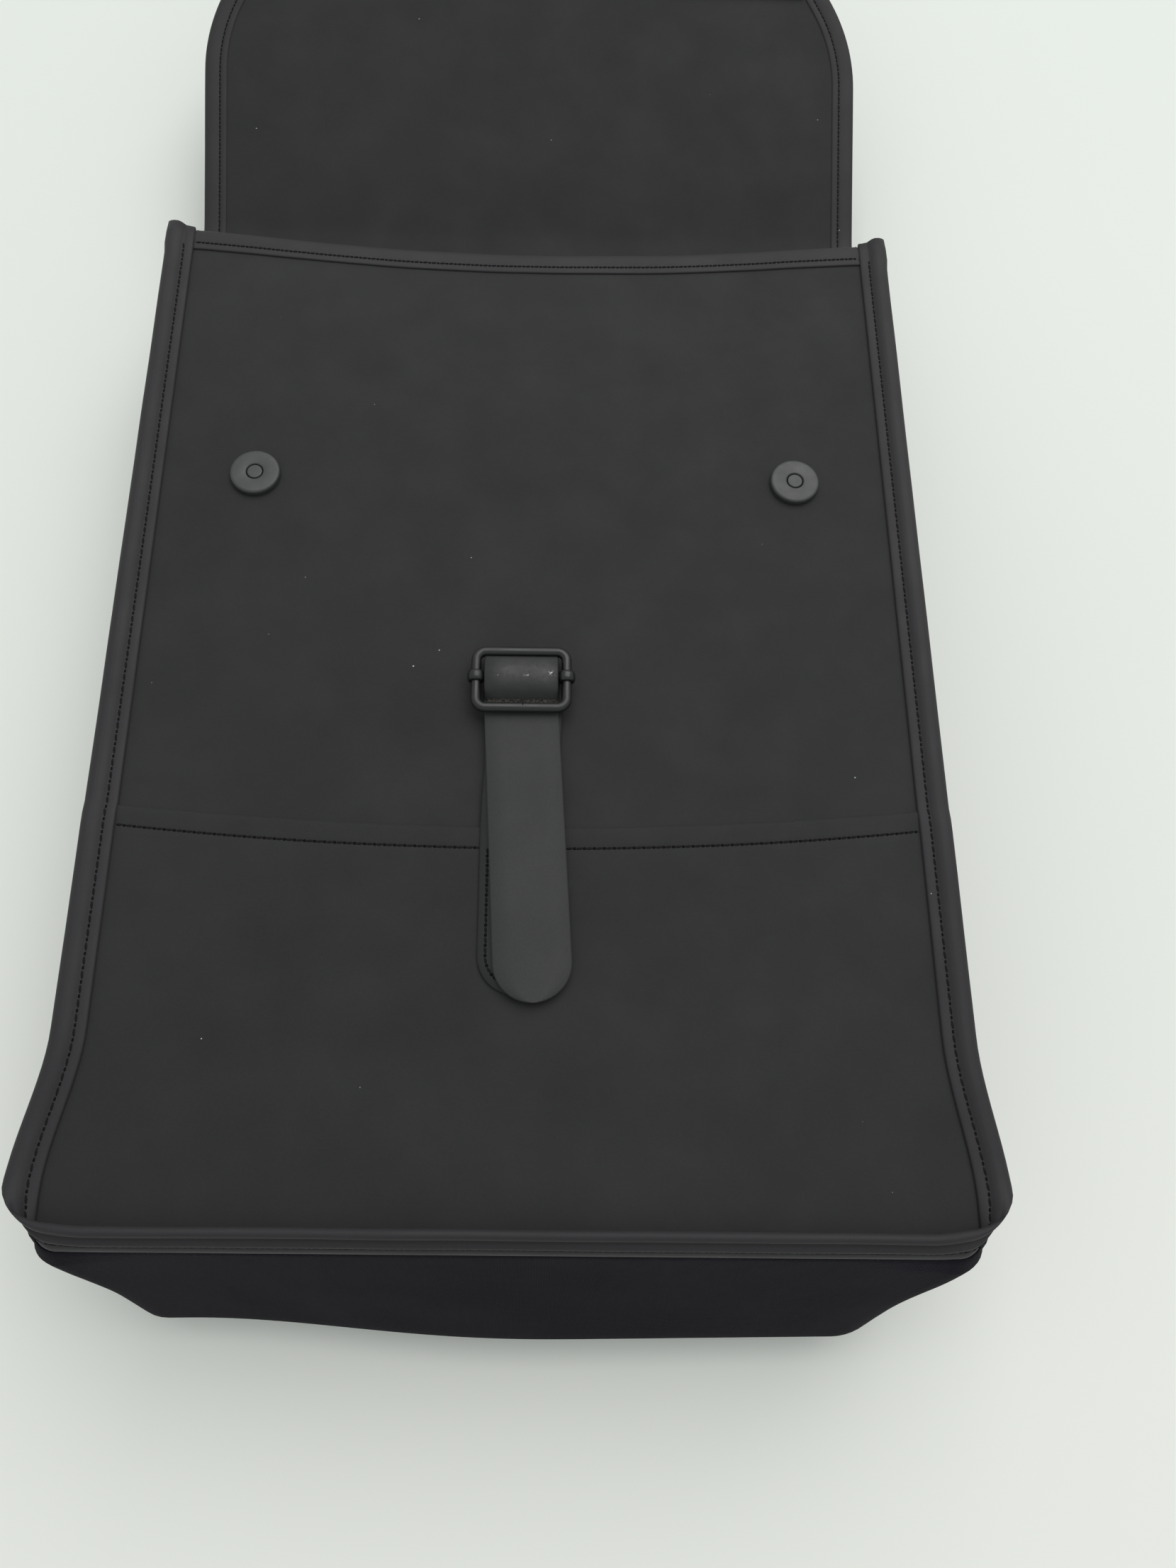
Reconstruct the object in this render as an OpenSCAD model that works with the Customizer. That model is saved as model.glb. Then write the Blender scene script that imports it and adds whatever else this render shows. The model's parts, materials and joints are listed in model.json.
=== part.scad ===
// Pannier bag lying on its back with the flap thrown open.
// +Z points out of the front panel, +Y towards the mouth and the flap, +X across the width.
// The modules stand the hooks on the plane Z = 0, and placed() moves the whole bag so that
// the origin is the middle of the rack tube that the two hooks hold.

/* [Body] */
// Width of the front panel between its bindings
panel_w = 263; // [240:1:290]
// Length of the front panel along Y
front_l = 377; // [340:1:400]
// Y of the front panel's top edge
front_top_y = 205; // [190:1:215]
// Height of the front panel's top edge
mouth_z = 56; // [54:1:62]
// Slope of the front panel, which rises towards the bottom of the bag
front_slope = 4; // [3:0.5:5]
// Height of the back panel's outer face over the feet of the hooks
back_z = 24; // [24:1:24]
// Y of the back panel's top edge
back_top_y = 186.5; // [180:0.5:187]
// Y of the back panel's bottom edge
back_bottom_y = -200; // [-215:1:-190]
// Radius of the front panel's bottom corners
front_corner_r = 20; // [14:1:45]
// Radius of the back panel's bottom corners
back_corner_r = 38; // [25:1:55]
// Thickness of the coated cloth
cloth_t = 1.4; // [1.2:0.1:1.6]
// Distance from the top edge down to the lap of the lower panel
lap_y = 238; // [220:1:250]

/* [Binding] */
// Width of the folded binding
bind_w = 10.3; // [8:0.1:12]
// Thickness of the folded binding
bind_t = 3.6; // [3:0.1:4]
// Lift of the binding on the sides
bind_side_lift = 8; // [0:1:10]
// Lift of the binding along the bottom, where it leans inwards
bind_bottom_lift = 145; // [100:1:150]

/* [Flap] */
// Overall width of the flap
flap_w = 277; // [260:1:278]
// Width of the flap's binding
flap_bind_w = 9.5; // [8:0.5:11]
// Length of the flap's roof, which spans the mouth
roof_l = 41; // [40:0.5:44]
// Lift of the open roof over the back plane
roof_lift = 2; // [0:0.5:4]
// Lift of the open flap front over the back plane
lid_lift = 16; // [12:0.5:20]
// Length of the flap front
lid_l = 142.5; // [135:0.5:150]

/* [Snaps] */
// Distance of each magnetic snap from the middle
snap_x = 98.5; // [90:0.5:104]
// Distance of the snaps from the front panel's top edge
snap_drop = 111.5; // [108:0.5:114]
// Radius of a snap
snap_r = 9; // [8:0.1:9.5]
// Height of a front snap
snap_h = 2.4; // [2.2:0.1:2.6]

/* [Strap] */
// Distance of the strap's middle line from the middle of the bag
strap_x = -1; // [-2:0.5:2]
// Width of the closing strap
strap_w = 25; // [20:1:25]
// Thickness of the strap
strap_t = 1.3; // [1:0.1:1.4]
// Width of the wire buckle
buckle_w = 34; // [33:0.5:36]
// Length of the wire buckle
buckle_l = 24; // [23:0.5:26]
// Radius of the buckle's wire
wire_r = 1.7; // [1.5:0.05:1.8]

/* [Rack hardware] */
// Length of the hook rail
rail_l = 220; // [200:1:230]
// Y of the hook rail
rail_y = 128; // [120:1:135]
// Distance of each hook from the middle
hook_x = 75; // [60:1:85]
// Radius of the rack tube that the hooks take
tube_r = 5.1; // [5.1:0.1:5.1]
// Y of the lower anchor
anchor_y = -105; // [-130:1:-80]

/* [Hidden] */
$fn = 64;
eps = 0.01;
side_gap = 0.2;
tan_slope = tan(front_slope);
front_run = front_l / cos(front_slope);
front_bottom_y = front_top_y - front_l;
lap_over = 12;
lap_t = 0.9;
gusset_w = panel_w + 2 * cloth_t + 2 * side_gap;
gusset_drop = bind_t / 2 + 1.1;
board_t = 2;
hem_l = 9.5;
hem_t = 0.6;

// The flap turns on hinge_y, hinge_z and folds at the end of its roof
hinge_y = back_top_y + 2.5;
hinge_z = back_z + 1;
fold_y = hinge_y + roof_l * cos(roof_lift);
fold_z = hinge_z + roof_l * sin(roof_lift);
hinge_gap = 2.2;
flap_bind_t = 2.2;
tangent_l = lid_l - 74;
facing_t = 1.2;
facing_l = 40;
snap_on_lid = 117.8;
cap_r = 8.2;
cap_t = 1.2;
nub_r = 2.7;
nub_l = 1.4;
socket_r = 3.2;
socket_d = 1.9;
core_r = 2.7;
core_t = 0.4;
washer_r = 6;
washer_t = 0.6;

// The strap is sewn down below strap_hinge_y and free above it
strap_hinge_y = -45;
strap_end_y = -95.5;
tail_end_y = -98.5;
tail_turn = 3;
buckle_y = 10.5;
buckle_corner = 5;
layer_gap = 0.3;
riser_z = lap_t + layer_gap;
tail_z = riser_z + strap_t + layer_gap;
wire_z = tail_z + strap_t + layer_gap + wire_r;
bar_r = 1.4;
bar_gap = 0.06;
bar_y = buckle_y + 0.5;
wire_y = buckle_y - buckle_l / 2 + wire_r;
split_y = wire_y - wire_r - 0.4;
tail_y = split_y - 1.6;

// Rack hardware, stacked downwards from the back panel
run_gap = 0.06;
rail_w = 16;
rail_h = 5;
rail_flange = 2.5;
rail_lip = 3;
rail_screw_x = [-98, -30, 30, 98];
screw_r = 2;
screw_head_r = 3.8;
carriage_wall = 2.6;
carriage_top = back_z - 0.4;
insert_t = 1.4;
hook_wall = 3.2;
hook_w = 26;
tube_z = hook_wall + insert_t + tube_r;
tube_y = rail_y - 5;
hook_r = tube_r + insert_t + hook_wall;
throat_r = tube_r + insert_t;
plate_z = tube_z + throat_r;
lug_y0 = rail_y - 20;
lug_y1 = rail_y - rail_w / 2 - carriage_wall;
latch_y = rail_y - 15.5;
latch_z = 19.3;
latch_pin_r = 1.5;
latch_hub_r = 3.2;
latch_w0 = -9.2;
latch_w1 = 6.8;
anchor_w = 40;
anchor_l = 60;
anchor_plate_t = 3;
anchor_screw_y = 22;
pivot_r = 4;
arm_l = 40;
arm_w = 14;
arm_z0 = 13.4;
arm_z1 = 18.4;
arm_lip = 3;
pad_t = 1.6;
handle_y = 176;
handle_z = 18.5;
handle_x = 52;
handle_end_y = 146;
handle_w = 20;
handle_t = 2.4;
handle_bar_r = 2;
rivet_y = 182;
rivet_r = 1.5;
rivet_xs = [for (sx = [-1, 1], dx = [-9, 9]) sx * handle_x + dx];

// ---- shared shapes ----

module placed() {
    translate([0, -tube_y, -tube_z]) children();
}

// Height of the front panel's outer face at a Y
function front_z(y) = mouth_z + (front_top_y - y) * tan_slope;

// Places a shape on the front panel's outer face
module on_front(x, y) {
    translate([x, y, front_z(y)]) rotate([-front_slope, 0, 0]) children();
}

// Places a shape in the frame of the open roof or the open flap front
module on_roof() {
    translate([0, hinge_y, hinge_z]) rotate([roof_lift, 0, 0]) children();
}
module on_lid() {
    translate([0, fold_y, fold_z]) rotate([lid_lift, 0, 0]) children();
}

// Plate with rounded corners, centred on X and Y and standing on Z = 0
module round_plate(w, l, t, r) {
    linear_extrude(t) {
        square([w - 2 * r, l], center = true);
        square([w, l - 2 * r], center = true);
        for (sx = [-1, 1], sy = [-1, 1])
            translate([sx * (w / 2 - r), sy * (l / 2 - r)]) circle(r);
    }
}

// Outline with a straight top edge on Y = 0 and round corners at its bottom
module pocket_outline(w, l, r) {
    translate([-w / 2, -l + r]) square([w, l - r]);
    translate([-w / 2 + r, -l]) square([w - 2 * r, l]);
    for (sx = [-1, 1]) translate([sx * (w / 2 - r), -l + r]) circle(r);
}

// Stations round the same outline: point, outward direction and how far round the bottom it is
function arc_station(cx, cy, r, a) = [cx + r * cos(a), cy + r * sin(a), cos(a), sin(a)];
function outline_stations(w, l, r, top, sides, turns) = concat(
    [for (i = [0 : sides - 1]) [-w / 2, top - (l - r + top) * i / sides, -1, 0]],
    [for (i = [0 : turns]) arc_station(-w / 2 + r, -l + r, r, 180 + 90 * i / turns)],
    [for (i = [0 : turns]) arc_station(w / 2 - r, -l + r, r, 270 + 90 * i / turns)],
    [for (i = [sides - 1 : -1 : 0]) [w / 2, top - (l - r + top) * i / sides, 1, 0]]);

// Closed skin over a list of equal rings of points
module loft(rings) {
    n = len(rings[0]);
    m = len(rings);
    points = [for (ring = rings) for (p = ring) p];
    sides = [for (i = [0 : m - 2]) for (j = [0 : n - 1])
        let (a = i * n + j, b = i * n + (j + 1) % n)
        for (t = [[a, b, b + n], [a, b + n, a + n]]) t];
    start = [for (j = [n - 1 : -1 : 0]) j];
    end = [for (j = [0 : n - 1]) (m - 1) * n + j];
    polyhedron(points, concat(sides, [start, end]), convexity = 10);
}

// Cylinder along X, centred
module rod_x(r, l) {
    rotate([0, 90, 0]) cylinder(r = r, h = l, center = true);
}

// Profile in the Y-Z plane, extruded along X and centred
module along_x(w) {
    rotate([90, 0, 90]) translate([0, 0, -w / 2]) linear_extrude(w) children();
}

// ---- body of the bag ----

module front_upper_panel() color("#35363a") on_front(0, front_top_y) {
    translate([-panel_w / 2, -lap_y - lap_over, -cloth_t])
        cube([panel_w, lap_y + lap_over - hem_t, cloth_t]);
}

module front_lower_panel() color("#333438") on_front(0, front_top_y) {
    translate([-panel_w / 2, -lap_y - lap_over - 2, eps])
        cube([panel_w, lap_over + 2, lap_t - eps]);
    translate([0, 0, -cloth_t]) linear_extrude(cloth_t + lap_t) intersection() {
        pocket_outline(panel_w, front_run - side_gap, front_corner_r);
        translate([-panel_w, -2 * front_run - lap_y - lap_over - eps])
            square([2 * panel_w, 2 * front_run]);
    }
}

// Ring of the gusset's wall: its front edge follows the front panel, its back edge the back panel
function gusset_ring(f, b) = [
    gusset_front(f, 0), gusset_front(f, cloth_t), gusset_back(b, cloth_t), gusset_back(b, 0)];
function gusset_front(f, inset) = [
    f[0] - inset * f[2],
    front_top_y + (f[1] - inset * f[3]) * cos(front_slope),
    mouth_z - f[1] * sin(front_slope) - gusset_drop];
function gusset_back(b, inset) = [
    b[0] - inset * b[2], back_top_y + b[1] - inset * b[3], back_z + cloth_t + eps];
gusset_sides = 6;
gusset_turns = 8;
front_path = outline_stations(gusset_w, front_run, front_corner_r, 0, gusset_sides, gusset_turns);
back_path = outline_stations(gusset_w, back_top_y - back_bottom_y, back_corner_r, 0,
                             gusset_sides, gusset_turns);

module gusset() color("#26272b") {
    loft([for (i = [0 : len(front_path) - 1]) gusset_ring(front_path[i], back_path[i])]);
}

module back_panel() color("#313236") {
    translate([0, back_top_y, back_z]) linear_extrude(cloth_t) difference() {
        pocket_outline(gusset_w, back_top_y - back_bottom_y, back_corner_r);
        back_holes();
    }
}

// Holes of the rail's and the anchor's fasteners, in the back panel's own outline
module back_holes() {
    for (x = rail_screw_x) translate([x, rail_y - back_top_y]) circle(screw_r + run_gap);
    for (s = [-1, 1]) translate([0, anchor_y + s * anchor_screw_y - back_top_y])
        circle(screw_r + run_gap);
    for (x = rivet_xs) translate([x, rivet_y - back_top_y]) circle(rivet_r + run_gap);
}

module back_board() color("#5b5d61") {
    translate([0, back_top_y, back_z + cloth_t]) linear_extrude(board_t) difference() {
        translate([0, -8]) pocket_outline(panel_w - 10, back_top_y - back_bottom_y - 16, back_corner_r);
        back_holes();
    }
}

// The folded tape that wraps the seam of front panel and gusset
function bind_profile(w, t) = [
    [0, -t / 2], [w - 1.4, -t / 2], [w, -t / 4], [w, t / 4], [w - 1.4, t / 2], [0, t / 2]];
function bind_ring(s, w, t) =
    let (lift = bind_side_lift + (bind_bottom_lift - bind_side_lift) * max(0, -s[3]),
         c = cos(lift), k = sin(lift))
    [for (p = bind_profile(w, t))
        let (out = p[0] * c - p[1] * k, up = p[0] * k + p[1] * c)
        [s[0] + out * s[2], s[1] + out * s[3], up - cloth_t / 2]];
module front_binding() color("#2f3034") on_front(0, front_top_y) {
    path = outline_stations(panel_w + 2 * side_gap, front_run, front_corner_r, 0, 6, 12);
    loft([for (s = path) bind_ring(s, bind_w, bind_t)]);
}

module mouth_hem() color("#2f3034") on_front(0, front_top_y) {
    translate([0, -hem_l / 2 + hem_t, 0]) difference() {
        translate([-panel_w / 2 + hem_t, -hem_l / 2, -cloth_t - hem_t])
            cube([panel_w - 2 * hem_t, hem_l, cloth_t + 2 * hem_t]);
        translate([-panel_w, -hem_l, -cloth_t]) cube([2 * panel_w, 1.5 * hem_l - hem_t, cloth_t]);
    }
}

// Tapes folded over the top edges of the two side walls
module gusset_hems() color("#2f3034") for (sx = [-1, 1]) {
    y0 = back_top_y;
    z0 = back_z + cloth_t;
    y1 = front_top_y;
    z1 = mouth_z - gusset_drop;
    turn = atan2(z1 - z0, y1 - y0);
    run = norm([y1 - y0, z1 - z0]);
    translate([sx * (gusset_w / 2 - cloth_t / 2), y0, z0]) rotate([turn, 0, 0])
        translate([-cloth_t / 2 - hem_t, 3, -hem_t]) difference() {
            cube([cloth_t + 2 * hem_t, run - 4, 4]);
            translate([hem_t, -1, hem_t]) cube([cloth_t, run + 2, 5]);
        }
}

// ---- magnetic snaps ----

module front_snap(sx) color("#3c3e42") on_front(sx * snap_x, front_top_y - snap_drop) {
    difference() {
        cylinder(r = snap_r, h = snap_h);
        translate([0, 0, snap_h - socket_d]) cylinder(r = socket_r, h = socket_d + 1);
    }
}
module front_snap_left() front_snap(-1);
module front_snap_right() front_snap(1);

module snap_magnets() color("#4b4d50") for (sx = [-1, 1])
    on_front(sx * snap_x, front_top_y - snap_drop)
        translate([0, 0, snap_h - socket_d]) cylinder(r = core_r, h = core_t);

module front_snap_washers() color("#8d8f92") for (sx = [-1, 1])
    on_front(sx * snap_x, front_top_y - snap_drop)
        translate([0, 0, -cloth_t - washer_t]) cylinder(r = washer_r, h = washer_t);

module flap_snap(sx) color("#3c3e42") on_lid() translate([sx * snap_x, snap_on_lid, 0]) {
    translate([0, 0, cloth_t / 2 + facing_t]) cylinder(r = cap_r, h = cap_t);
    translate([0, 0, cloth_t / 2 + facing_t + cap_t - eps]) cylinder(r = nub_r, h = nub_l);
}
module flap_snap_left() flap_snap(-1);
module flap_snap_right() flap_snap(1);

module flap_snap_washers() color("#8d8f92") on_lid() for (sx = [-1, 1])
    translate([sx * snap_x, snap_on_lid, cloth_t / 2]) cylinder(r = washer_r, h = washer_t);

// ---- closing strap and buckle ----

module strap_base() color("#303135") on_front(strap_x, 0) {
    translate([-strap_w / 2, strap_end_y + strap_w / 2, lap_t])
        cube([strap_w, strap_hinge_y - strap_end_y - strap_w / 2 - 0.5, strap_t]);
    translate([0, strap_end_y + strap_w / 2, lap_t]) cylinder(r = strap_w / 2, h = strap_t);
}

// Runs up under the wire, round the sliding bar and back down under the wire
module strap_riser() color("#303135") on_front(strap_x, 0) difference() {
    along_x(strap_w) {
        polygon([[strap_hinge_y + 1.3, riser_z], [wire_y, riser_z],
                 [bar_y, wire_z - bar_r - strap_t], [bar_y, wire_z - bar_r - 0.2],
                 [wire_y, riser_z + strap_t], [strap_hinge_y + 1.3, riser_z + strap_t]]);
        translate([bar_y, wire_z]) circle(bar_r + bar_gap + strap_t);
        polygon([[bar_y - 1, wire_z + bar_r + strap_t], [bar_y - 1, wire_z + bar_r + 0.2],
                 [wire_y + 3.4, tail_z], [split_y, tail_z],
                 [split_y, tail_z + strap_t], [wire_y + 2.4, tail_z + strap_t]]);
    }
    translate([0, bar_y, wire_z]) rod_x(bar_r + bar_gap, 2 * strap_w);
}

module slider_bar() color("#2c2d30") on_front(strap_x, 0) {
    side_x = buckle_w / 2 - wire_r;
    translate([0, bar_y, wire_z]) difference() {
        union() {
            rod_x(bar_r, 2 * side_x - 2 * wire_r);
            for (sx = [-1, 1]) translate([sx * side_x, 0, 0])
                rotate([90, 0, 0]) cylinder(r = wire_r + 1.1, h = 3.2, center = true);
        }
        for (sx = [-1, 1]) translate([sx * side_x, 0, 0])
            rotate([90, 0, 0]) cylinder(r = wire_r + run_gap, h = 8, center = true);
    }
}

// Rectangle of round wire, lying on X-Y
module wire_loop(w, l, corner, r) {
    for (sx = [-1, 1]) {
        translate([sx * (w / 2 - r), 0, 0]) rotate([90, 0, 0])
            cylinder(r = r, h = l - 2 * corner, center = true);
        translate([0, sx * (l / 2 - r), 0]) rod_x(r, w - 2 * corner);
    }
    for (q = [[1, 1, 0], [-1, 1, 90], [-1, -1, 180], [1, -1, 270]])
        translate([q[0] * (w / 2 - corner), q[1] * (l / 2 - corner), 0]) rotate([0, 0, q[2]])
            rotate_extrude(angle = 90) translate([corner - r, 0]) circle(r);
}

module buckle_frame() color("#2c2d30") on_front(strap_x, 0) {
    translate([0, buckle_y, wire_z]) wire_loop(buckle_w, buckle_l, buckle_corner, wire_r);
}

module strap_tail() color("#3f4246") on_front(strap_x, 0) {
    translate([0, tail_y, tail_z]) rotate([0, 0, tail_turn]) {
        run = tail_y - tail_end_y - strap_w / 2;
        translate([-strap_w / 2, -run, 0]) cube([strap_w, run, strap_t]);
        translate([0, -run, 0]) cylinder(r = strap_w / 2, h = strap_t);
    }
}

// ---- flap ----

module flap_roof() color("#303135") on_roof() {
    w = flap_w - 2 * flap_bind_w;
    translate([-w / 2, hinge_gap, -cloth_t / 2]) cube([w, roof_l - 2 * hinge_gap, cloth_t]);
}

module flap_roof_bindings() color("#2f3034") on_roof() for (sx = [-1, 1])
    translate([sx * (flap_w - flap_bind_w) / 2 - flap_bind_w / 2, hinge_gap, -flap_bind_t / 2])
        cube([flap_bind_w, roof_l - 2 * hinge_gap, flap_bind_t]);

// Half of the flap front's edge: a wide bend, a straight and the corner
edge_r = 72;
edge_turn = 30;
edge_run = 15;
end_r = 50;
function edge_point(a, inset) = [
    flap_w / 2 - edge_r + (edge_r - inset) * cos(a), tangent_l + (edge_r - inset) * sin(a)];
edge_end = edge_point(edge_turn, 0);
end_centre = [
    edge_end[0] - edge_run * sin(edge_turn) - end_r * cos(edge_turn),
    edge_end[1] + edge_run * cos(edge_turn) - end_r * sin(edge_turn)];
function half_edge(inset) = concat(
    [[flap_w / 2 - inset, hinge_gap]],
    [for (i = [0 : 6]) edge_point(edge_turn * i / 6, inset)],
    [for (i = [0 : 10]) let (a = edge_turn + (90 - edge_turn) * i / 10)
        end_centre + (end_r - inset) * [cos(a), sin(a)]]);
function mirrored(points) = [for (i = [len(points) - 1 : -1 : 0]) [-points[i][0], points[i][1]]];
module lid_outline(inset) {
    polygon(concat(half_edge(inset), mirrored(half_edge(inset))));
}

module flap_front() color("#303135") on_lid() {
    translate([0, 0, -cloth_t / 2]) linear_extrude(cloth_t) lid_outline(flap_bind_w);
}

module flap_front_binding() color("#2f3034") on_lid() {
    translate([0, 0, -flap_bind_t / 2]) linear_extrude(flap_bind_t) difference() {
        lid_outline(0);
        lid_outline(flap_bind_w);
        translate([-flap_w / 2 + flap_bind_w, 0])
            square([flap_w - 2 * flap_bind_w, tangent_l]);
    }
}

// Second layer at the flap's end, which backs the snaps and hides their washers
module flap_facing() color("#333438") on_lid() {
    translate([0, 0, cloth_t / 2]) difference() {
        linear_extrude(facing_t) intersection() {
            lid_outline(flap_bind_w + 0.2);
            translate([-flap_w, lid_l - facing_l]) square([2 * flap_w, lid_l]);
        }
        for (sx = [-1, 1]) translate([sx * snap_x, snap_on_lid, -1])
            cylinder(r = washer_r + 0.05, h = washer_t + 1.05);
    }
}

// ---- flap strap and snap hook ----

flap_strap_from = 84;
eye_on_lid = lid_l + 14;
eye_z = -flap_bind_t / 2 - layer_gap - strap_t - 1.5;
eye_bar_r = 1.5;
eye_l = 12;
hook_swing = -90 - lid_lift;
hook_t = 4;
hook_outer = 8;
hook_rod = 3.6;
hook_run = 16;
shank_r = 2.2;
gate_t = 3;

module flap_strap() color("#303135") on_lid() difference() {
    union() {
        translate([-strap_w / 2, flap_strap_from, eye_z + 1.5])
            cube([strap_w, eye_on_lid - flap_strap_from, strap_t]);
        translate([0, eye_on_lid, eye_z]) rod_x(eye_bar_r + bar_gap + strap_t, strap_w);
    }
    translate([0, eye_on_lid, eye_z]) rod_x(eye_bar_r + bar_gap, 2 * strap_w);
}

// Frame of the hanging hook: X across, Y down the hook from the eye's bar
module on_hook() {
    on_lid() translate([0, eye_on_lid, eye_z]) rotate([hook_swing, 0, 0]) children();
}

module hook_eye() color("#2c2d30") on_hook() {
    w = strap_w + 9;
    rod_x(eye_bar_r, w - 4);
    for (sx = [-1, 1]) translate([sx * (w / 2 - 2), eye_l / 2 - 1, 0])
        cube([3.2, eye_l + 1, 3.2], center = true);
    difference() {
        translate([0, eye_l, 0]) cube([w - 0.8, 4, 6.4], center = true);
        translate([0, eye_l, 0]) rotate([90, 0, 0])
            cylinder(r = shank_r + run_gap, h = 10, center = true);
    }
}

hook_base = eye_l + 2.4;
hook_mid = hook_base + 3 + hook_outer;
hook_tip = hook_mid + hook_run;
module snap_hook() color("#2c2d30") on_hook() {
    translate([0, hook_base, 0]) rotate([90, 0, 0])
        translate([0, 0, -0.5]) cylinder(r = shank_r, h = 6.2);
    translate([0, eye_l - 3.2, 0]) rotate([90, 0, 0]) cylinder(r = shank_r + 1.2, h = 1);
    translate([0, hook_base + 2.2, 0]) cube([7, 3.6, hook_t + 1], center = true);
    translate([0, 0, -hook_t / 2]) difference() {
        linear_extrude(hook_t) difference() {
            union() {
                translate([0, hook_mid]) circle(hook_outer);
                translate([0, hook_tip]) circle(hook_outer);
                translate([-hook_outer, hook_mid]) square([2 * hook_outer, hook_run]);
            }
            translate([0, hook_mid]) circle(hook_outer - hook_rod);
            translate([0, hook_tip]) circle(hook_outer - hook_rod);
            translate([-hook_outer + hook_rod, hook_mid])
                square([2 * (hook_outer - hook_rod), hook_run]);
            translate([0, hook_mid + 1.2]) square([2 * hook_outer, hook_run - 1.4]);
        }
        translate([hook_outer - hook_rod / 2, hook_mid - 1.4, -1])
            cylinder(r = 0.9 + run_gap, h = hook_t + 2);
        translate([hook_outer - hook_rod - 1, hook_mid - 3.2, 0.9])
            cube([hook_rod + 4, 5, hook_t - 1.8]);
    }
}

module snap_gate() color("#4a4c50") on_hook() difference() {
    translate([0, 0, -1]) linear_extrude(2) {
        translate([hook_outer - hook_rod / 2, hook_mid - 1.4]) circle(1.6);
        translate([hook_outer - hook_rod + 0.5, hook_mid - 1.4])
            square([hook_rod - 1, hook_run - 0.8 + 1.4]);
    }
    translate([hook_outer - hook_rod / 2, hook_mid - 1.4, -3])
        cylinder(r = 0.9 + run_gap, h = 6);
}

module gate_pin() color("#8d8f92") on_hook() {
    translate([hook_outer - hook_rod / 2, hook_mid - 1.4, -hook_t / 2])
        cylinder(r = 0.9, h = hook_t);
}

module gate_spring() color("#8d8f92") on_hook() {
    translate([1, hook_mid - 2.6, -0.6]) cube([3.2, 0.4, 1.2]);
}

// ---- rail and rack hooks ----

// Rail with a flange that the hooks' carriages grip from both sides
module hook_rail() color("#3a3b3e") translate([0, rail_y, back_z - rail_h]) difference() {
    union() {
        translate([-rail_l / 2, -rail_w / 2, 0]) cube([rail_l, rail_w, rail_flange]);
        translate([-rail_l / 2, -rail_w / 2 + rail_lip, 0])
            cube([rail_l, rail_w - 2 * rail_lip, rail_h]);
    }
    for (x = rail_screw_x) translate([x, 0, -1]) {
        cylinder(r = screw_r + run_gap, h = rail_h + 2);
        cylinder(r = screw_head_r + run_gap, h = 1 + 2.2);
    }
}

module rail_screws() color("#8d8f92") for (x = rail_screw_x)
    translate([x, rail_y, back_z - rail_h + 0.2]) {
        cylinder(r = screw_head_r, h = 2);
        cylinder(r = screw_r, h = rail_h + cloth_t + board_t + 3);
    }

module nut(r, h) {
    difference() {
        cylinder(r = r, h = h, $fn = 6);
        translate([0, 0, -1]) cylinder(r = screw_r + run_gap, h = h + 2);
    }
}

module rail_nuts() color("#8d8f92") for (x = rail_screw_x)
    translate([x, rail_y, back_z + cloth_t + board_t]) nut(4, 2.8);

module rail_cap(sx) color("#232427") {
    translate([sx * (rail_l / 2 + 1.5), rail_y, back_z - (rail_h + 0.5) / 2])
        cube([3, rail_w + 1, rail_h + 0.5], center = true);
}
module rail_cap_left() rail_cap(-1);
module rail_cap_right() rail_cap(1);

// Room for the rail inside a carriage, with its running clearance
module rail_slot() {
    translate([rail_y - rail_w / 2 - run_gap, back_z - rail_h - run_gap])
        square([rail_w + 2 * run_gap, rail_flange + 2 * run_gap]);
    translate([rail_y - rail_w / 2 + rail_lip - run_gap, back_z - rail_h - run_gap])
        square([rail_w - 2 * rail_lip + 2 * run_gap, rail_h + 4]);
}

// Carriage that grips the rail, and the hook that drops over the rack tube
module rack_hook(sx) color("#232427") translate([sx * hook_x, 0, 0]) difference() {
    along_x(hook_w) difference() {
        union() {
            translate([lug_y0, plate_z]) square([rail_y - lug_y0 + rail_w / 2 + carriage_wall,
                                                 carriage_top - plate_z]);
            translate([tube_y, tube_z]) circle(hook_r);
            translate([tube_y - 10, 0]) square([10, hook_wall]);
        }
        rail_slot();
        translate([tube_y, tube_z]) circle(throat_r);
        translate([tube_y - 30, tube_z - throat_r]) square([30, 2 * throat_r]);
    }
    translate([latch_w0 - 0.2, lug_y0 - 1, 0])
        cube([latch_w1 - latch_w0 + 2.8, lug_y1 - lug_y0 + 0.4, back_z]);
    translate([0, latch_y, latch_z]) rod_x(latch_pin_r, hook_w + 2);
    translate([0, rail_y + rail_w / 2 - 1, back_z - rail_h + rail_flange / 2])
        rotate([-90, 0, 0]) cylinder(r = screw_r, h = 20);
}
module rack_hook_left() rack_hook(-1);
module rack_hook_right() rack_hook(1);

// Soft lining that brings the throat to the rack tube's size
module hook_insert(sx) color("#55575b") translate([sx * hook_x, 0, 0])
    along_x(hook_w - 0.6) difference() {
        union() {
            translate([tube_y, tube_z]) circle(throat_r);
            translate([tube_y - 6, tube_z - throat_r]) square([6, 2 * throat_r]);
        }
        translate([tube_y, tube_z]) circle(tube_r);
        translate([tube_y - 7, tube_z - tube_r]) square([7, 2 * tube_r]);
    }
module hook_insert_left() hook_insert(-1);
module hook_insert_right() hook_insert(1);

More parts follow.
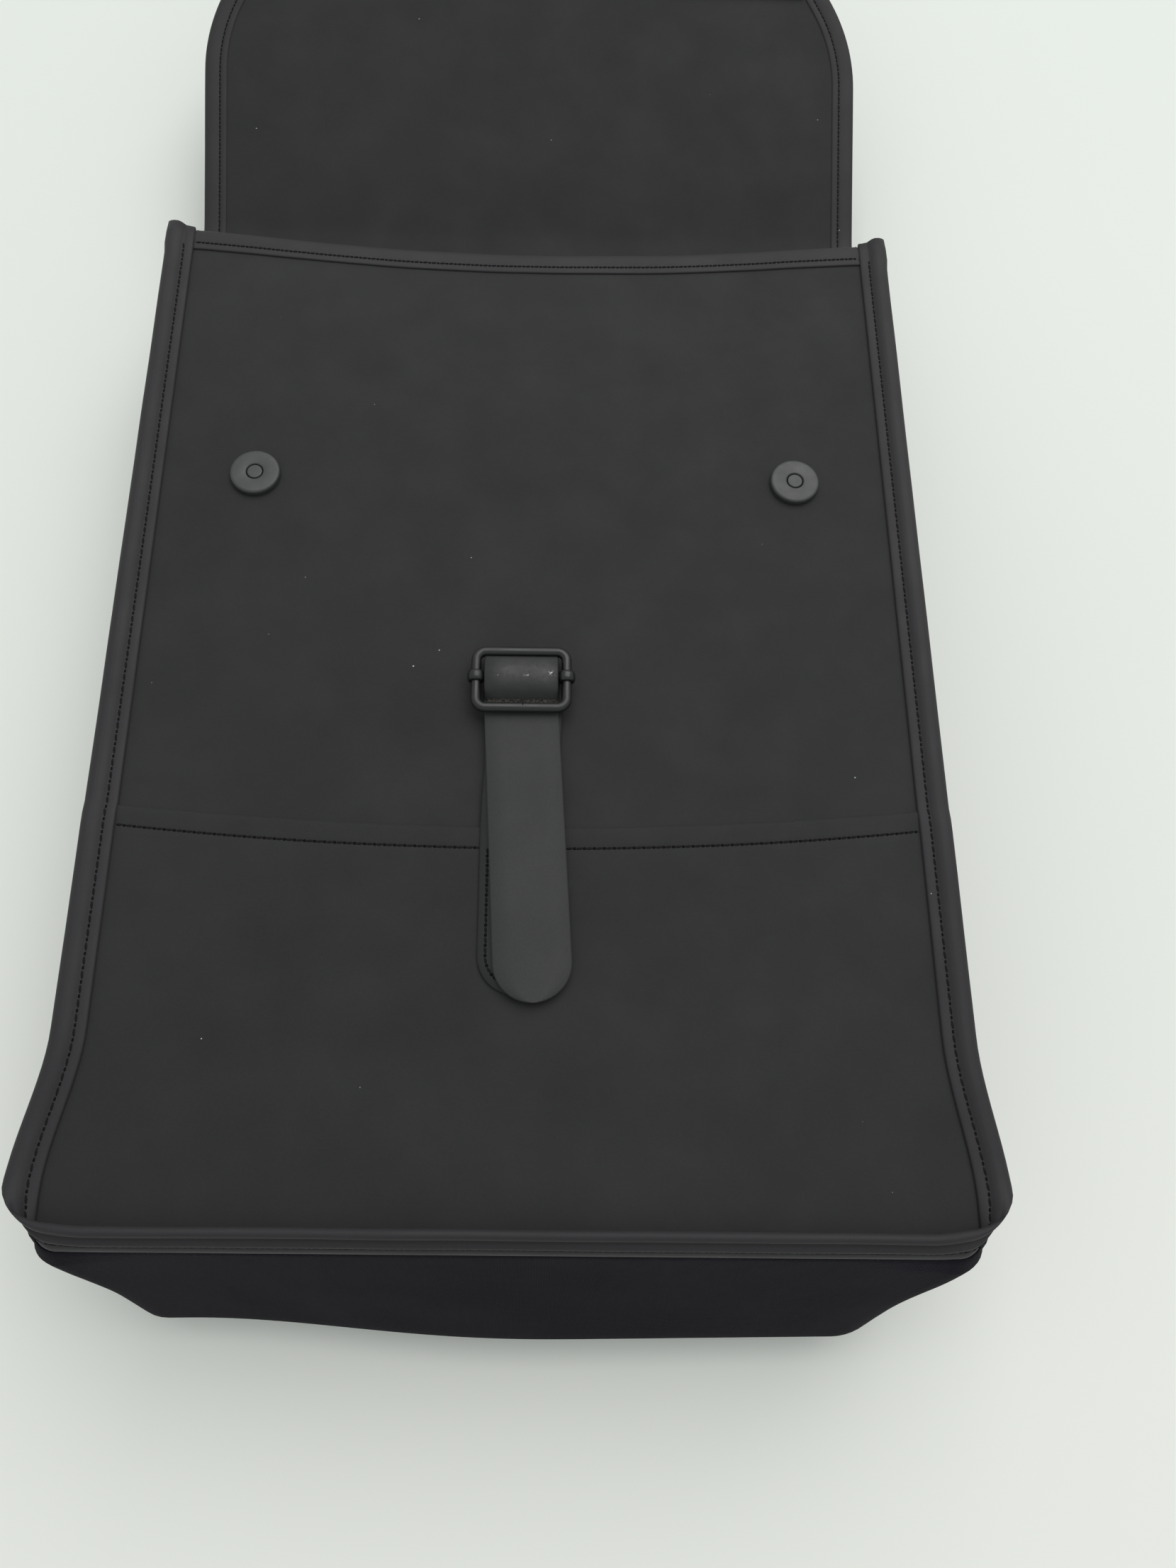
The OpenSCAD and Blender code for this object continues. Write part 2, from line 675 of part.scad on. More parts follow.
// Sprung tongue that closes the throat under the tube
module hook_latch(sx) color("#4a4c50") translate([sx * hook_x, 0, 0]) difference() {
    union() {
        translate([(latch_w0 + latch_w1) / 2, latch_y, latch_z])
            rod_x(latch_hub_r, latch_w1 - latch_w0);
        translate([latch_w0, latch_y - 1.8, hook_wall + 1.8])
            cube([latch_w1 - latch_w0, 3.6, latch_z - hook_wall - 1.8]);
    }
    translate([0, latch_y, latch_z]) rod_x(latch_pin_r + run_gap, hook_w);
}
module hook_latch_left() hook_latch(-1);
module hook_latch_right() hook_latch(1);

module latch_pin(sx) color("#8d8f92")
    translate([sx * hook_x, latch_y, latch_z]) rod_x(latch_pin_r, hook_w);
module latch_pin_left() latch_pin(-1);
module latch_pin_right() latch_pin(1);

module latch_spring(sx) color("#8d8f92")
    translate([sx * hook_x + latch_w1 + 1.2, latch_y, latch_z]) difference() {
        rod_x(2.6, 1.8);
        rod_x(latch_pin_r + 0.2, 3);
    }
module latch_spring_left() latch_spring(-1);
module latch_spring_right() latch_spring(1);

// Screw that locks a carriage against the rail's edge
module hook_screw(sx) color("#8d8f92")
    translate([sx * hook_x, rail_y + rail_w / 2 + 0.1, back_z - rail_h + rail_flange / 2])
        rotate([-90, 0, 0]) {
            cylinder(r = screw_r, h = carriage_wall);
            translate([0, 0, carriage_wall]) cylinder(r = 3.3, h = 2);
        }
module hook_screw_left() hook_screw(-1);
module hook_screw_right() hook_screw(1);

// ---- lower anchor ----

module anchor_plate() color("#232427")
    translate([0, anchor_y, back_z - anchor_plate_t]) difference() {
        round_plate(anchor_w, anchor_l, anchor_plate_t, 6);
        for (s = [-1, 1]) translate([0, s * anchor_screw_y, -1])
            cylinder(r = screw_r + run_gap, h = anchor_plate_t + 2);
        translate([0, 0, -1]) cylinder(r = pivot_r, h = anchor_plate_t + 2);
    }

module anchor_screws() color("#8d8f92") for (s = [-1, 1])
    translate([0, anchor_y + s * anchor_screw_y, back_z - anchor_plate_t - 2]) {
        cylinder(r = screw_head_r, h = 2);
        cylinder(r = screw_r, h = 2 + anchor_plate_t + cloth_t + board_t + 3);
    }

module anchor_nuts() color("#8d8f92") for (s = [-1, 1])
    translate([0, anchor_y + s * anchor_screw_y, back_z + cloth_t + board_t]) nut(4, 2.8);

// Arm that swings round its bolt and reaches behind the rack's stay
module anchor_arm() color("#232427") translate([0, anchor_y, 0]) difference() {
    union() {
        translate([0, 0, arm_z0]) cylinder(r = 9, h = back_z - anchor_plate_t - 0.3 - arm_z0);
        translate([0, -arm_w / 2, arm_z0]) cube([arm_l, arm_w, arm_z1 - arm_z0]);
        translate([arm_l - 6, -arm_w / 2, 0]) cube([6, arm_w, arm_z1]);
        translate([arm_l - 17, -arm_w / 2, 0]) cube([17, arm_w, arm_lip]);
    }
    cylinder(r = pivot_r + run_gap, h = back_z);
}

module anchor_bolt() color("#8d8f92") translate([0, anchor_y, 0]) {
    translate([0, 0, arm_z0 - 3.3]) cylinder(r = 7, h = 3);
    translate([0, 0, arm_z0 - 0.4]) cylinder(r = pivot_r, h = back_z - arm_z0 + 0.4);
}

module anchor_pad() color("#55575b")
    translate([arm_l - 6 - pad_t, anchor_y - arm_w / 2 + 1, arm_lip])
        cube([pad_t, arm_w - 2, arm_z0 - arm_lip]);

// ---- carry handle on the back ----

module handle_brackets() color("#2c2d30") for (sx = [-1, 1])
    translate([sx * handle_x, handle_y, 0]) difference() {
        union() {
            translate([-14, -4, back_z - 1.6]) cube([28, 13.5, 1.6]);
            for (s = [-1, 1]) translate([s * 12 - 1.2, -2.6, handle_z - 2.6])
                cube([2.4, 5.2, back_z - handle_z + 2.6 - 0.5]);
            translate([0, 0, handle_z]) rod_x(handle_bar_r, 24);
        }
        for (dx = [-9, 9]) translate([dx, rivet_y - handle_y, back_z - 3])
            cylinder(r = rivet_r + run_gap, h = 5);
    }

module handle_rivets() color("#8d8f92") for (x = rivet_xs)
    translate([x, rivet_y, back_z - 1.6 - 0.9]) {
        cylinder(r = 2.8, h = 0.9);
        cylinder(r = rivet_r, h = 0.9 + 1.6 + cloth_t + 0.9);
        translate([0, 0, 0.9 + 1.6 + cloth_t]) cylinder(r = 2.8, h = 0.9);
    }

module carry_handle() color("#26272b") difference() {
    union() {
        for (sx = [-1, 1]) {
            translate([sx * handle_x, handle_y, handle_z]) rod_x(handle_bar_r + 1.5, handle_w);
            translate([sx * handle_x - handle_w / 2, handle_end_y, handle_z - handle_t / 2])
                cube([handle_w, handle_y - handle_end_y, handle_t]);
        }
        translate([-handle_x, handle_end_y, handle_z - handle_t / 2])
            cube([2 * handle_x, handle_w - 4, handle_t]);
    }
    for (sx = [-1, 1]) translate([sx * handle_x, handle_y, handle_z])
        rod_x(handle_bar_r + run_gap, handle_w + 2);
}

placed() front_upper_panel();
placed() front_lower_panel();
placed() gusset();
placed() back_panel();
placed() back_board();
placed() front_binding();
placed() mouth_hem();
placed() gusset_hems();
placed() front_snap_left();
placed() front_snap_right();
placed() snap_magnets();
placed() front_snap_washers();
placed() strap_base();
placed() strap_riser();
placed() slider_bar();
placed() buckle_frame();
placed() strap_tail();
placed() flap_roof();
placed() flap_roof_bindings();
placed() flap_front();
placed() flap_front_binding();
placed() flap_facing();
placed() flap_snap_left();
placed() flap_snap_right();
placed() flap_snap_washers();
placed() flap_strap();
placed() hook_eye();
placed() snap_hook();
placed() snap_gate();
placed() gate_pin();
placed() gate_spring();
placed() hook_rail();
placed() rail_screws();
placed() rail_nuts();
placed() rail_cap_left();
placed() rail_cap_right();
placed() rack_hook_left();
placed() rack_hook_right();
placed() hook_insert_left();
placed() hook_insert_right();
placed() hook_latch_left();
placed() hook_latch_right();
placed() latch_pin_left();
placed() latch_pin_right();
placed() latch_spring_left();
placed() latch_spring_right();
placed() hook_screw_left();
placed() hook_screw_right();
placed() anchor_plate();
placed() anchor_screws();
placed() anchor_nuts();
placed() anchor_arm();
placed() anchor_bolt();
placed() anchor_pad();
placed() handle_brackets();
placed() handle_rivets();
placed() carry_handle();
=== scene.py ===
import json
import math
import bmesh
import bpy
import numpy as np
from mathutils import Matrix, Vector, noise


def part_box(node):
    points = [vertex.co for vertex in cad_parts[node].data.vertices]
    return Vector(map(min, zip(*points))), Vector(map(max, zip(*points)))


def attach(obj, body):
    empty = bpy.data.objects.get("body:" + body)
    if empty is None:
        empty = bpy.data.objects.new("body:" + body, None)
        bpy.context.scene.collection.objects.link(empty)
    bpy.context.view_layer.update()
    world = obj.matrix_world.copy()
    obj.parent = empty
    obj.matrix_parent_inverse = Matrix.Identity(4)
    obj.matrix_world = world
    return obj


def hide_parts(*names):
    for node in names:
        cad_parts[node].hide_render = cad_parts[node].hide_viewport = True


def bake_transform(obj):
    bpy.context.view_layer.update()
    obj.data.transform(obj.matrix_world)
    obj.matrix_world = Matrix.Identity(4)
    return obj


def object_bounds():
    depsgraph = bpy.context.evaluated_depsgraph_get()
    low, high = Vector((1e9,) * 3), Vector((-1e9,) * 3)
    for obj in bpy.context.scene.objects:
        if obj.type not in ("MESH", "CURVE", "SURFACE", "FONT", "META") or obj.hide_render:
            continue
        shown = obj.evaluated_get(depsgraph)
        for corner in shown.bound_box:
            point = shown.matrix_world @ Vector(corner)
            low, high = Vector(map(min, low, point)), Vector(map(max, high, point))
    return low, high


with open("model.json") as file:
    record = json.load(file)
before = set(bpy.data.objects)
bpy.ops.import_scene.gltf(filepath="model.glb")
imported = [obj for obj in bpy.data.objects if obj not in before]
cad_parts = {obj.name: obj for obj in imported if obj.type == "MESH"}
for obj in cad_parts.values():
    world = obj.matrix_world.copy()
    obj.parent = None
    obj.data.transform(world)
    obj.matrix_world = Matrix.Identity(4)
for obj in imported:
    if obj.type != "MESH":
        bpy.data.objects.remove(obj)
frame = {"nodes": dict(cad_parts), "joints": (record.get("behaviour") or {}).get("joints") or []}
cadLow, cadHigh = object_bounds()

mm = 0.001  # the sizes below are millimetres in the frame's own axes
tau = 2 * math.pi
jointPlace = {j["name"]: Vector(j["pos_m"]) / mm for j in frame["joints"] if "pos_m" in j}


def nodeBox(name):
    low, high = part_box(name)
    return low / mm, high / mm


def smooth(t):
    t = min(1.0, max(0.0, t))
    return t * t * (3 - 2 * t)


def mix(a, b, t):
    return a + (b - a) * t


def spread(a, b, count):
    return [mix(a, b, i / (count - 1)) for i in range(count)]


# Base colours of the finishes
finishes = {
    "cloth": (0.0158, 0.0158, 0.0170),
    "tape": (0.0185, 0.0172, 0.0196),
    "strap": (0.0140, 0.0148, 0.0150),
    "tail": (0.0290, 0.0305, 0.0300),
    "canvas": (0.0030, 0.0024, 0.0050),
    "thread": (0.0065, 0.0062, 0.0070),
    # near-black: painted shade of the needle holes and of the wire's joint gap
    "hole": (0.0012, 0.0012, 0.0014),
    "paint": (0.030, 0.033, 0.0325),
    "wire": (0.0085, 0.0088, 0.0095),
    "steel": (0.42, 0.42, 0.43),
    "gate": (0.10, 0.10, 0.11),
    "rail": (0.035, 0.036, 0.038),
    "plastic": (0.020, 0.0205, 0.022),
    "rubber": (0.070, 0.071, 0.075),
    "board": (0.055, 0.056, 0.060),
    "webbing": (0.020, 0.020, 0.023),
    "speck": (0.42, 0.43, 0.41),
    "chip": (0.40, 0.42, 0.42),
    "grit": (0.13, 0.115, 0.095),
}


# A material's node tree, with short ways to add and join nodes
class Nodes:
    def __init__(self, name, roughness, **sockets):
        self.material = bpy.data.materials.new(name)
        self.material.use_nodes = True
        self.tree = self.material.node_tree
        self.shader = self.tree.nodes["Principled BSDF"]
        self.shader.inputs["Roughness"].default_value = roughness
        for key, value in sockets.items():
            self.shader.inputs[key.replace("_", " ")].default_value = value

    def add(self, kind, **inputs):
        node = self.tree.nodes.new(kind)
        for key, value in inputs.items():
            self.put(node.inputs[key.replace("_", " ")], value)
        return node

    def put(self, socket, value):
        if isinstance(value, bpy.types.NodeSocket):
            self.tree.links.new(value, socket)
        else:
            socket.default_value = value

    def math(self, operation, a, b=0.0):
        node = self.tree.nodes.new("ShaderNodeMath")
        node.operation = operation
        self.put(node.inputs[0], a)
        self.put(node.inputs[1], b)
        return node.outputs[0]

    def place(self, kind="Object"):
        return self.add("ShaderNodeTexCoord").outputs[kind]

    def cloud(self, scale, detail=3.0, rough=0.55, vector=None):
        node = self.add("ShaderNodeTexNoise", Scale=scale, Detail=detail, Roughness=rough)
        self.put(node.inputs["Vector"], self.place() if vector is None else vector)
        return node.outputs["Fac"]

    def curve(self, value, low, high, lowOut=0.0, highOut=1.0):
        node = self.add("ShaderNodeMapRange")
        for key, number in zip((0, 1, 2, 3, 4), (value, low, high, lowOut, highOut)):
            self.put(node.inputs[key], number)
        return node.outputs[0]

    def blend(self, share, a, b):
        node = self.tree.nodes.new("ShaderNodeMix")
        node.data_type = "RGBA"
        self.put(node.inputs[0], share)
        self.put(node.inputs[6], a)
        self.put(node.inputs[7], b)
        return node.outputs[2]

    def bump(self, *layers):
        normal = None
        for height, distance, strength in layers:
            node = self.add("ShaderNodeBump", Strength=strength, Distance=distance * mm)
            self.put(node.inputs["Height"], height)
            if normal:
                self.put(node.inputs["Normal"], normal)
            normal = node.outputs[0]
        self.put(self.shader.inputs["Normal"], normal)

    def colour(self, value):
        self.put(self.shader.inputs["Base Color"], value)

    def rough(self, value):
        self.put(self.shader.inputs["Roughness"], value)


def tint(base, factor):
    return (*[c * factor for c in base], 1.0)


coat = {"speckCells": 105.0, "speckSize": (0.010, 0.034), "speckShare": 0.55, "fibres": 1500.0,
        "grain": 5200.0}


# Matte coated cloth: fine grain, cloudy handling marks, dust specks and faint rubbed patches
def coatedMaterial(name, base, roughness=0.62, dust=0.55, marks=1.0, grain=1.0):
    n = Nodes(name, roughness, Specular_IOR_Level=0.24, Sheen_Weight=0.03, Sheen_Roughness=0.6)
    broad = n.cloud(9.0, 4.0)
    patch = n.cloud(38.0, 3.0)
    shade = n.blend(n.curve(broad, 0.32, 0.68), tint(base, 1 - 0.10 * marks), tint(base, 1 + 0.10 * marks))
    worn = n.math("MULTIPLY", n.curve(patch, 0.56, 0.80, 0.0, 0.5 * marks), n.curve(broad, 0.5, 0.7))
    shade = n.blend(worn, shade, tint(base, 1.45))
    flat = n.add("ShaderNodeMapping", Scale=(1.0, 1.0, 0.0))
    n.put(flat.inputs["Vector"], n.place())
    cells = n.add("ShaderNodeTexVoronoi", Scale=coat["speckCells"], Randomness=1.0)
    n.put(cells.inputs["Vector"], flat.outputs[0])
    apart = n.add("ShaderNodeSeparateColor")
    n.put(apart.inputs[0], cells.outputs["Color"])
    size = n.curve(apart.outputs[1], 0.0, 1.0, *coat["speckSize"])
    near = n.math("LESS_THAN", cells.outputs["Distance"], size)
    chosen = n.math("GREATER_THAN", apart.outputs[0], 1 - coat["speckShare"] * dust)
    speck = n.math("MULTIPLY", near, chosen)
    shade = n.blend(n.math("MULTIPLY", speck, 0.8), shade, tint(finishes["speck"], 1.0))
    fibre = n.curve(n.cloud(coat["fibres"], 3.0, 0.7), 0.3, 0.7)
    shade = n.blend(n.math("MULTIPLY", fibre, 0.3 * grain), shade, tint(base, 1.7))
    n.colour(shade)
    n.rough(n.curve(patch, 0.3, 0.7, roughness - 0.06, roughness + 0.06))
    fine, coarse = n.cloud(coat["grain"], 2.0, 0.6), n.cloud(420.0, 3.0)
    n.bump((fine, 0.05, 0.35 * grain), (coarse, 0.08, 0.25 * grain), (n.cloud(60.0, 2.0), 0.3, 0.18))
    return n.material


loopWear = {"crest": -110.8, "crease": -119.5}  # Y of the loop's rubbed crest and of its dusty crease


# Coated strap rubbed white in small chips along its crest and dusty where it dives under the wire
def rubbedMaterial(name, base):
    n = Nodes(name, 0.42, Specular_IOR_Level=0.4)
    apart = n.add("ShaderNodeSeparateXYZ")
    n.put(apart.inputs[0], n.place())
    y = n.math("MULTIPLY", apart.outputs[1], 1 / mm)
    fromCrest, fromCrease = (n.math("SUBTRACT", y, loopWear[k]) for k in ("crest", "crease"))
    chips = n.math("GREATER_THAN", n.cloud(900.0, 4.0, 0.75), 0.57)
    groups = n.curve(n.cloud(150.0, 1.0), 0.50, 0.56)
    crest = n.math("SUBTRACT", 1.0, n.curve(n.math("ABSOLUTE", fromCrest), 0.5, 1.1))
    dusty = n.math("SUBTRACT", 1.0, n.curve(n.math("ABSOLUTE", fromCrease), 0.15, 0.8))
    grit = n.math("GREATER_THAN", n.cloud(1600.0, 4.0, 0.7), 0.5)
    white = n.math("MULTIPLY", n.math("MULTIPLY", chips, groups), crest)
    dust = n.math("MULTIPLY", n.math("MULTIPLY", grit, dusty), 0.6)
    shade = n.blend(n.curve(n.cloud(200.0, 3.0), 0.35, 0.7), tint(base, 0.85), tint(base, 1.2))
    shade = n.blend(white, shade, tint(finishes["chip"], 1.0))
    n.colour(n.blend(dust, shade, tint(finishes["grit"], 1.0)))
    n.rough(n.curve(n.cloud(500.0, 3.0), 0.3, 0.7, 0.38, 0.55))
    n.bump((n.cloud(5200.0, 2.0), 0.05, 0.3), (n.cloud(700.0, 3.0), 0.1, 0.4))
    return n.material


# Plain weave of rounded yarns, laid out on the piece's own length and width in metres; the yarn tops are
# painted lighter and the hollows between them darker, as painted highlight and painted shade
def wovenMaterial(name, base, pitchU, pitchV, depth=0.26, roughness=0.82, light=2.5):
    n = Nodes(name, roughness, Specular_IOR_Level=0.10, Sheen_Weight=0.02, Sheen_Roughness=0.5)
    apart = n.add("ShaderNodeSeparateXYZ")
    n.put(apart.inputs[0], n.place("UV"))
    wobble = n.curve(n.cloud(900.0, 2.0), 0.3, 0.7, -0.25, 0.25)
    u = n.math("ADD", n.math("MULTIPLY", apart.outputs[0], math.pi / (pitchU * mm)), wobble)
    v = n.math("ADD", n.math("MULTIPLY", apart.outputs[1], math.pi / (pitchV * mm)), wobble)
    warp, weft = (n.math("ABSOLUTE", n.math("SINE", w)) for w in (u, v))
    over = n.curve(n.math("MULTIPLY", n.math("COSINE", u), n.math("COSINE", v)), -0.5, 0.5)
    under = n.math("SUBTRACT", 1.0, over)
    rise = n.math("ADD", n.math("MULTIPLY", warp, over), n.math("MULTIPLY", weft, under))
    fuzz = n.cloud(2600.0, 3.0, 0.7)
    height = n.math("ADD", rise, n.math("MULTIPLY", fuzz, 0.35))
    # Painted light: colour follows the yarns' height, up to light times the base on the tops (painted
    # highlight) and 0.45 times in the hollows (painted shade)
    shade = n.blend(n.curve(rise, 0.3, 1.0), tint(base, 0.45), tint(base, light))
    # Pale cloudy patches of random tone, also scaled by light
    shade = n.blend(n.curve(n.cloud(26.0, 3.0), 0.45, 0.75, 0.0, 0.45), shade, tint(base, 1.5 * light))
    n.colour(shade)
    n.bump((height, depth, 0.8), (n.cloud(70.0, 3.0), 0.6, 0.2))
    return n.material


def paintMaterial(name, base, roughness=0.38, worn=0.25):
    n = Nodes(name, roughness, Specular_IOR_Level=0.5)
    spots = n.curve(n.cloud(260.0, 4.0), 0.62, 0.78, 0.0, worn)
    n.colour(n.blend(spots, tint(base, 1.0), tint(base, 2.1)))
    n.rough(n.curve(n.cloud(140.0, 3.0), 0.3, 0.7, roughness - 0.06, roughness + 0.10))
    n.bump((n.cloud(1500.0, 2.0), 0.03, 0.3), (n.cloud(160.0, 2.0), 0.06, 0.2))
    return n.material


def metalMaterial(name, base, roughness=0.34, stretch=(1.0, 1.0, 1.0), metallic=1.0):
    n = Nodes(name, roughness, Metallic=metallic)
    mapping = n.add("ShaderNodeMapping", Scale=stretch)
    n.put(mapping.inputs["Vector"], n.place())
    streak = n.cloud(1400.0, 3.0, 0.6, mapping.outputs[0])
    haze = n.cloud(90.0, 3.0)
    n.colour(n.blend(n.curve(haze, 0.35, 0.7), tint(base, 0.82), tint(base, 1.12)))
    n.rough(n.curve(streak, 0.3, 0.7, roughness - 0.08, roughness + 0.10))
    n.bump((streak, 0.02, 0.35))
    return n.material


def mouldedMaterial(name, base, roughness=0.5):
    n = Nodes(name, roughness, Specular_IOR_Level=0.46)
    n.colour(n.blend(n.curve(n.cloud(60.0, 4.0), 0.4, 0.7), tint(base, 0.9), tint(base, 1.25)))
    n.rough(n.curve(n.cloud(700.0, 2.0), 0.3, 0.7, roughness - 0.05, roughness + 0.08))
    n.bump((n.cloud(2400.0, 3.0, 0.7), 0.06, 0.4))
    return n.material


def threadMaterial(name, base):
    n = Nodes(name, 0.75, Specular_IOR_Level=0.12)
    ply = n.cloud(3800.0, 2.0)
    n.colour(n.blend(n.curve(ply, 0.35, 0.65), tint(base, 0.7), tint(base, 1.7)))
    n.bump((ply, 0.08, 0.5))
    return n.material


cloth = coatedMaterial("coated_cloth", finishes["cloth"], 0.74)
tapeCloth = coatedMaterial("folded_tape", finishes["tape"], 0.58, 0.25, 0.9)
strapCloth = coatedMaterial("strap_cloth", finishes["strap"], 0.56, 0.5, 1.2)
loopCloth = rubbedMaterial("strap_loop_cloth", finishes["strap"])
tailCloth = coatedMaterial("strap_tail_cloth", finishes["tail"], 0.66, 0.9, 0.7)
canvas = wovenMaterial("woven_canvas", finishes["canvas"], 0.72, 0.62)
webbing = wovenMaterial("webbing", finishes["webbing"], 1.3, 0.9, 0.3, 0.7)
boardLining = wovenMaterial("board_lining", finishes["board"], 0.5, 0.5, 0.1, 0.8, 1.25)
thread = threadMaterial("thread", finishes["thread"])
# Near-black finish: painted shade for needle holes and the wire's joint gap
needleHoleShade = threadMaterial("needle_hole_shade", finishes["hole"])
snapPaint = paintMaterial("snap_paint", finishes["paint"], 0.46)
wirePaint = paintMaterial("wire_paint", finishes["wire"], 0.34)
zincSteel = metalMaterial("zinc_steel", finishes["steel"])
gateSteel = metalMaterial("gate_steel", finishes["gate"], 0.4)
anodised = metalMaterial("anodised_rail", finishes["rail"], 0.42, (0.04, 1.0, 1.0), 0.85)
hookPlastic = mouldedMaterial("hook_plastic", finishes["plastic"])
liningRubber = mouldedMaterial("lining_rubber", finishes["rubber"], 0.7)
print("materials made")


# Mesh in metres from points in millimetres, with its normals turned outwards if it is closed
def makeMesh(name, points, faces, materials, uvs=None, closed=True, tags=None):
    mesh = bpy.data.meshes.new(name)
    mesh.from_pydata([(x * mm, y * mm, z * mm) for x, y, z in points], [], faces)
    for m in materials if isinstance(materials, (list, tuple)) else [materials]:
        mesh.materials.append(m)
    mesh.polygons.foreach_set("use_smooth", [True] * len(mesh.polygons))
    if tags is not None:
        mesh.polygons.foreach_set("material_index", tags)
    if uvs is not None:
        layer = mesh.uv_layers.new(name="cut")
        index = np.empty(len(mesh.loops), np.int32)
        mesh.loops.foreach_get("vertex_index", index)
        layer.data.foreach_set("uv", (np.array(uvs, np.float32) * mm)[index].ravel())
    if closed:
        work = bmesh.new()
        work.from_mesh(mesh)
        bmesh.ops.recalc_face_normals(work, faces=work.faces)
        work.to_mesh(mesh)
        work.free()
    obj = bpy.data.objects.new(name, mesh)
    bpy.context.scene.collection.objects.link(obj)
    return obj


def lengths(points):
    steps = [0.0]
    for a, b in zip(points, points[1:]):
        steps.append(steps[-1] + (Vector(b) - Vector(a)).length)
    return steps


# Direction of a line of points at each of them
def headings(points):
    last = len(points) - 1
    return [(points[min(i + 1, last)] - points[max(i - 1, 0)]).normalized() for i in range(last + 1)]


def arc(centreX, centreY, radius, start, end, count):
    angles = [math.radians(a) for a in spread(start, end, count)]
    return [(centreX + radius * math.cos(a), centreY + radius * math.sin(a)) for a in angles]


# Skin over equal rings of points; each ring closes on itself unless ring is False
def loft(name, rings, materials, ring=True, caps=True, closed=True):
    n = len(rings[0])
    points = [p for r in rings for p in r]
    along = lengths([sum((Vector(p) for p in r), Vector()) / n for r in rings])
    around = lengths(rings[len(rings) // 2])
    uvs = [(s, t) for s in along for t in around]
    faces = []
    for i in range(len(rings) - 1):
        for j in range(n if ring else n - 1):
            k = (j + 1) % n
            faces.append((i * n + j, i * n + k, (i + 1) * n + k, (i + 1) * n + j))
    if ring and caps:
        faces.append(tuple(reversed(range(n))))
        faces.append(tuple(range((len(rings) - 1) * n, len(rings) * n)))
    return makeMesh(name, points, faces, materials, uvs, closed and ring)


# Cloth of one thickness over a grid of points, thickened away from its outer face
def clothSheet(name, rows, material, thickness, flip=False):
    if flip:
        rows = [list(reversed(r)) for r in rows]
    obj = loft(name, rows, material, ring=False)
    solid = obj.modifiers.new("thickness", "SOLIDIFY")
    solid.thickness = thickness * mm
    solid.offset = -1.0
    solid.use_even_offset = False
    return obj


# Round piece turned about an axis: profile holds (radius, height) pairs
def turned(name, profile, centre, axis, material, sides=48):
    turn = Vector((0, 0, 1)).rotation_difference(Vector(axis)).to_matrix()
    rings = []
    for radius, height in profile:
        ring = [Vector((radius * math.cos(tau * i / sides), radius * math.sin(tau * i / sides), height))
                for i in range(sides)]
        rings.append([tuple(turn @ p + Vector(centre)) for p in ring])
    return loft(name, rings, material)


# Flat ribbon with rounded edges: stations are (centre, across, up, half width)
def ribbon(name, stations, thickness, material, edge=0.45):
    rings = []
    half = thickness / 2
    for centre, across, up, wide in stations:
        inner = max(wide - edge, wide * 0.5)
        shape = [(-inner, half), (-wide, half * 0.35), (-wide, -half * 0.35), (-inner, -half)]
        middle = [(inner * f, -half) for f in (-0.5, 0, 0.5)]
        shape = shape + middle + [(-x, z) for x, z in reversed(shape)] + [(-x, -z) for x, z in middle]
        rings.append([tuple(centre + across * x + up * z) for x, z in shape])
    return loft(name, rings, material)


# Points and faces of a ball one unit across, with its poles on X: each stitch is one of these, stretched
def seed(sides=8, bands=4):
    points, faces = [(-0.5, 0, 0)], []
    for i in range(1, bands):
        a = math.pi * i / bands
        for j in range(sides):
            b = tau * j / sides
            ring = math.sin(a) / 2
            points.append((-math.cos(a) / 2, ring * math.cos(b), ring * math.sin(b)))
    points.append((0.5, 0, 0))
    last = len(points) - 1
    for j in range(sides):
        k = (j + 1) % sides
        faces.append((0, 1 + k, 1 + j))
        faces.append((last, last - sides + j, last - sides + k))
        for i in range(bands - 2):
            a = 1 + i * sides
            faces.append((a + j, a + k, a + sides + k, a + sides + j))
    return points, faces


seedPoints, seedFaces = seed()
stitch = {"share": 0.62, "width": 0.92, "height": 0.5, "slant": 7.0,
          "holeLength": 1.3, "holeWidth": 1.15, "holeHeight": 0.2}


# Row of stitches on a path of (point, normal) pairs: a thread at each pitch and, between them, a flat
# near-black blob of painted shade standing for the needle hole
def stitchRow(name, path, pitch, size=1.0):
    spots = [Vector(p) for p, _ in path]
    normals = [Vector(q).normalized() for _, q in path]
    steps = lengths(spots)
    count = max(2, round(steps[-1] / pitch))
    points, faces, tags = [], [], []
    for i in range(count * 2):
        s = steps[-1] * (i + 0.5) / (count * 2)
        k = min(int(np.searchsorted(steps, s, side="right")) - 1, len(spots) - 2)
        t = (s - steps[k]) / max(1e-9, steps[k + 1] - steps[k])
        middle = spots[k].lerp(spots[k + 1], t)
        normal = normals[k].lerp(normals[k + 1], t).normalized()
        forward = (spots[k + 1] - spots[k]).normalized()
        side = normal.cross(forward).normalized()
        if i % 2:
            # odd places: the needle hole, a flat near-black blob of painted shade over the cloth
            long, wide, high = (stitch[q] * size for q in ("holeLength", "holeWidth", "holeHeight"))
        else:
            lean = math.radians(stitch["slant"])
            forward, side = (forward * math.cos(lean) + side * math.sin(lean),
                             side * math.cos(lean) - forward * math.sin(lean))
            long, wide, high = pitch * stitch["share"], stitch["width"] * size, stitch["height"] * size
        start = len(points)
        points += [tuple(middle + forward * x * long + side * y * wide + normal * z * high)
                   for x, y, z in seedPoints]
        faces += [tuple(start + v for v in f) for f in seedFaces]
        tags += [i % 2] * len(seedFaces)
    return makeMesh(name, points, faces, [thread, needleHoleShade], tags=tags)


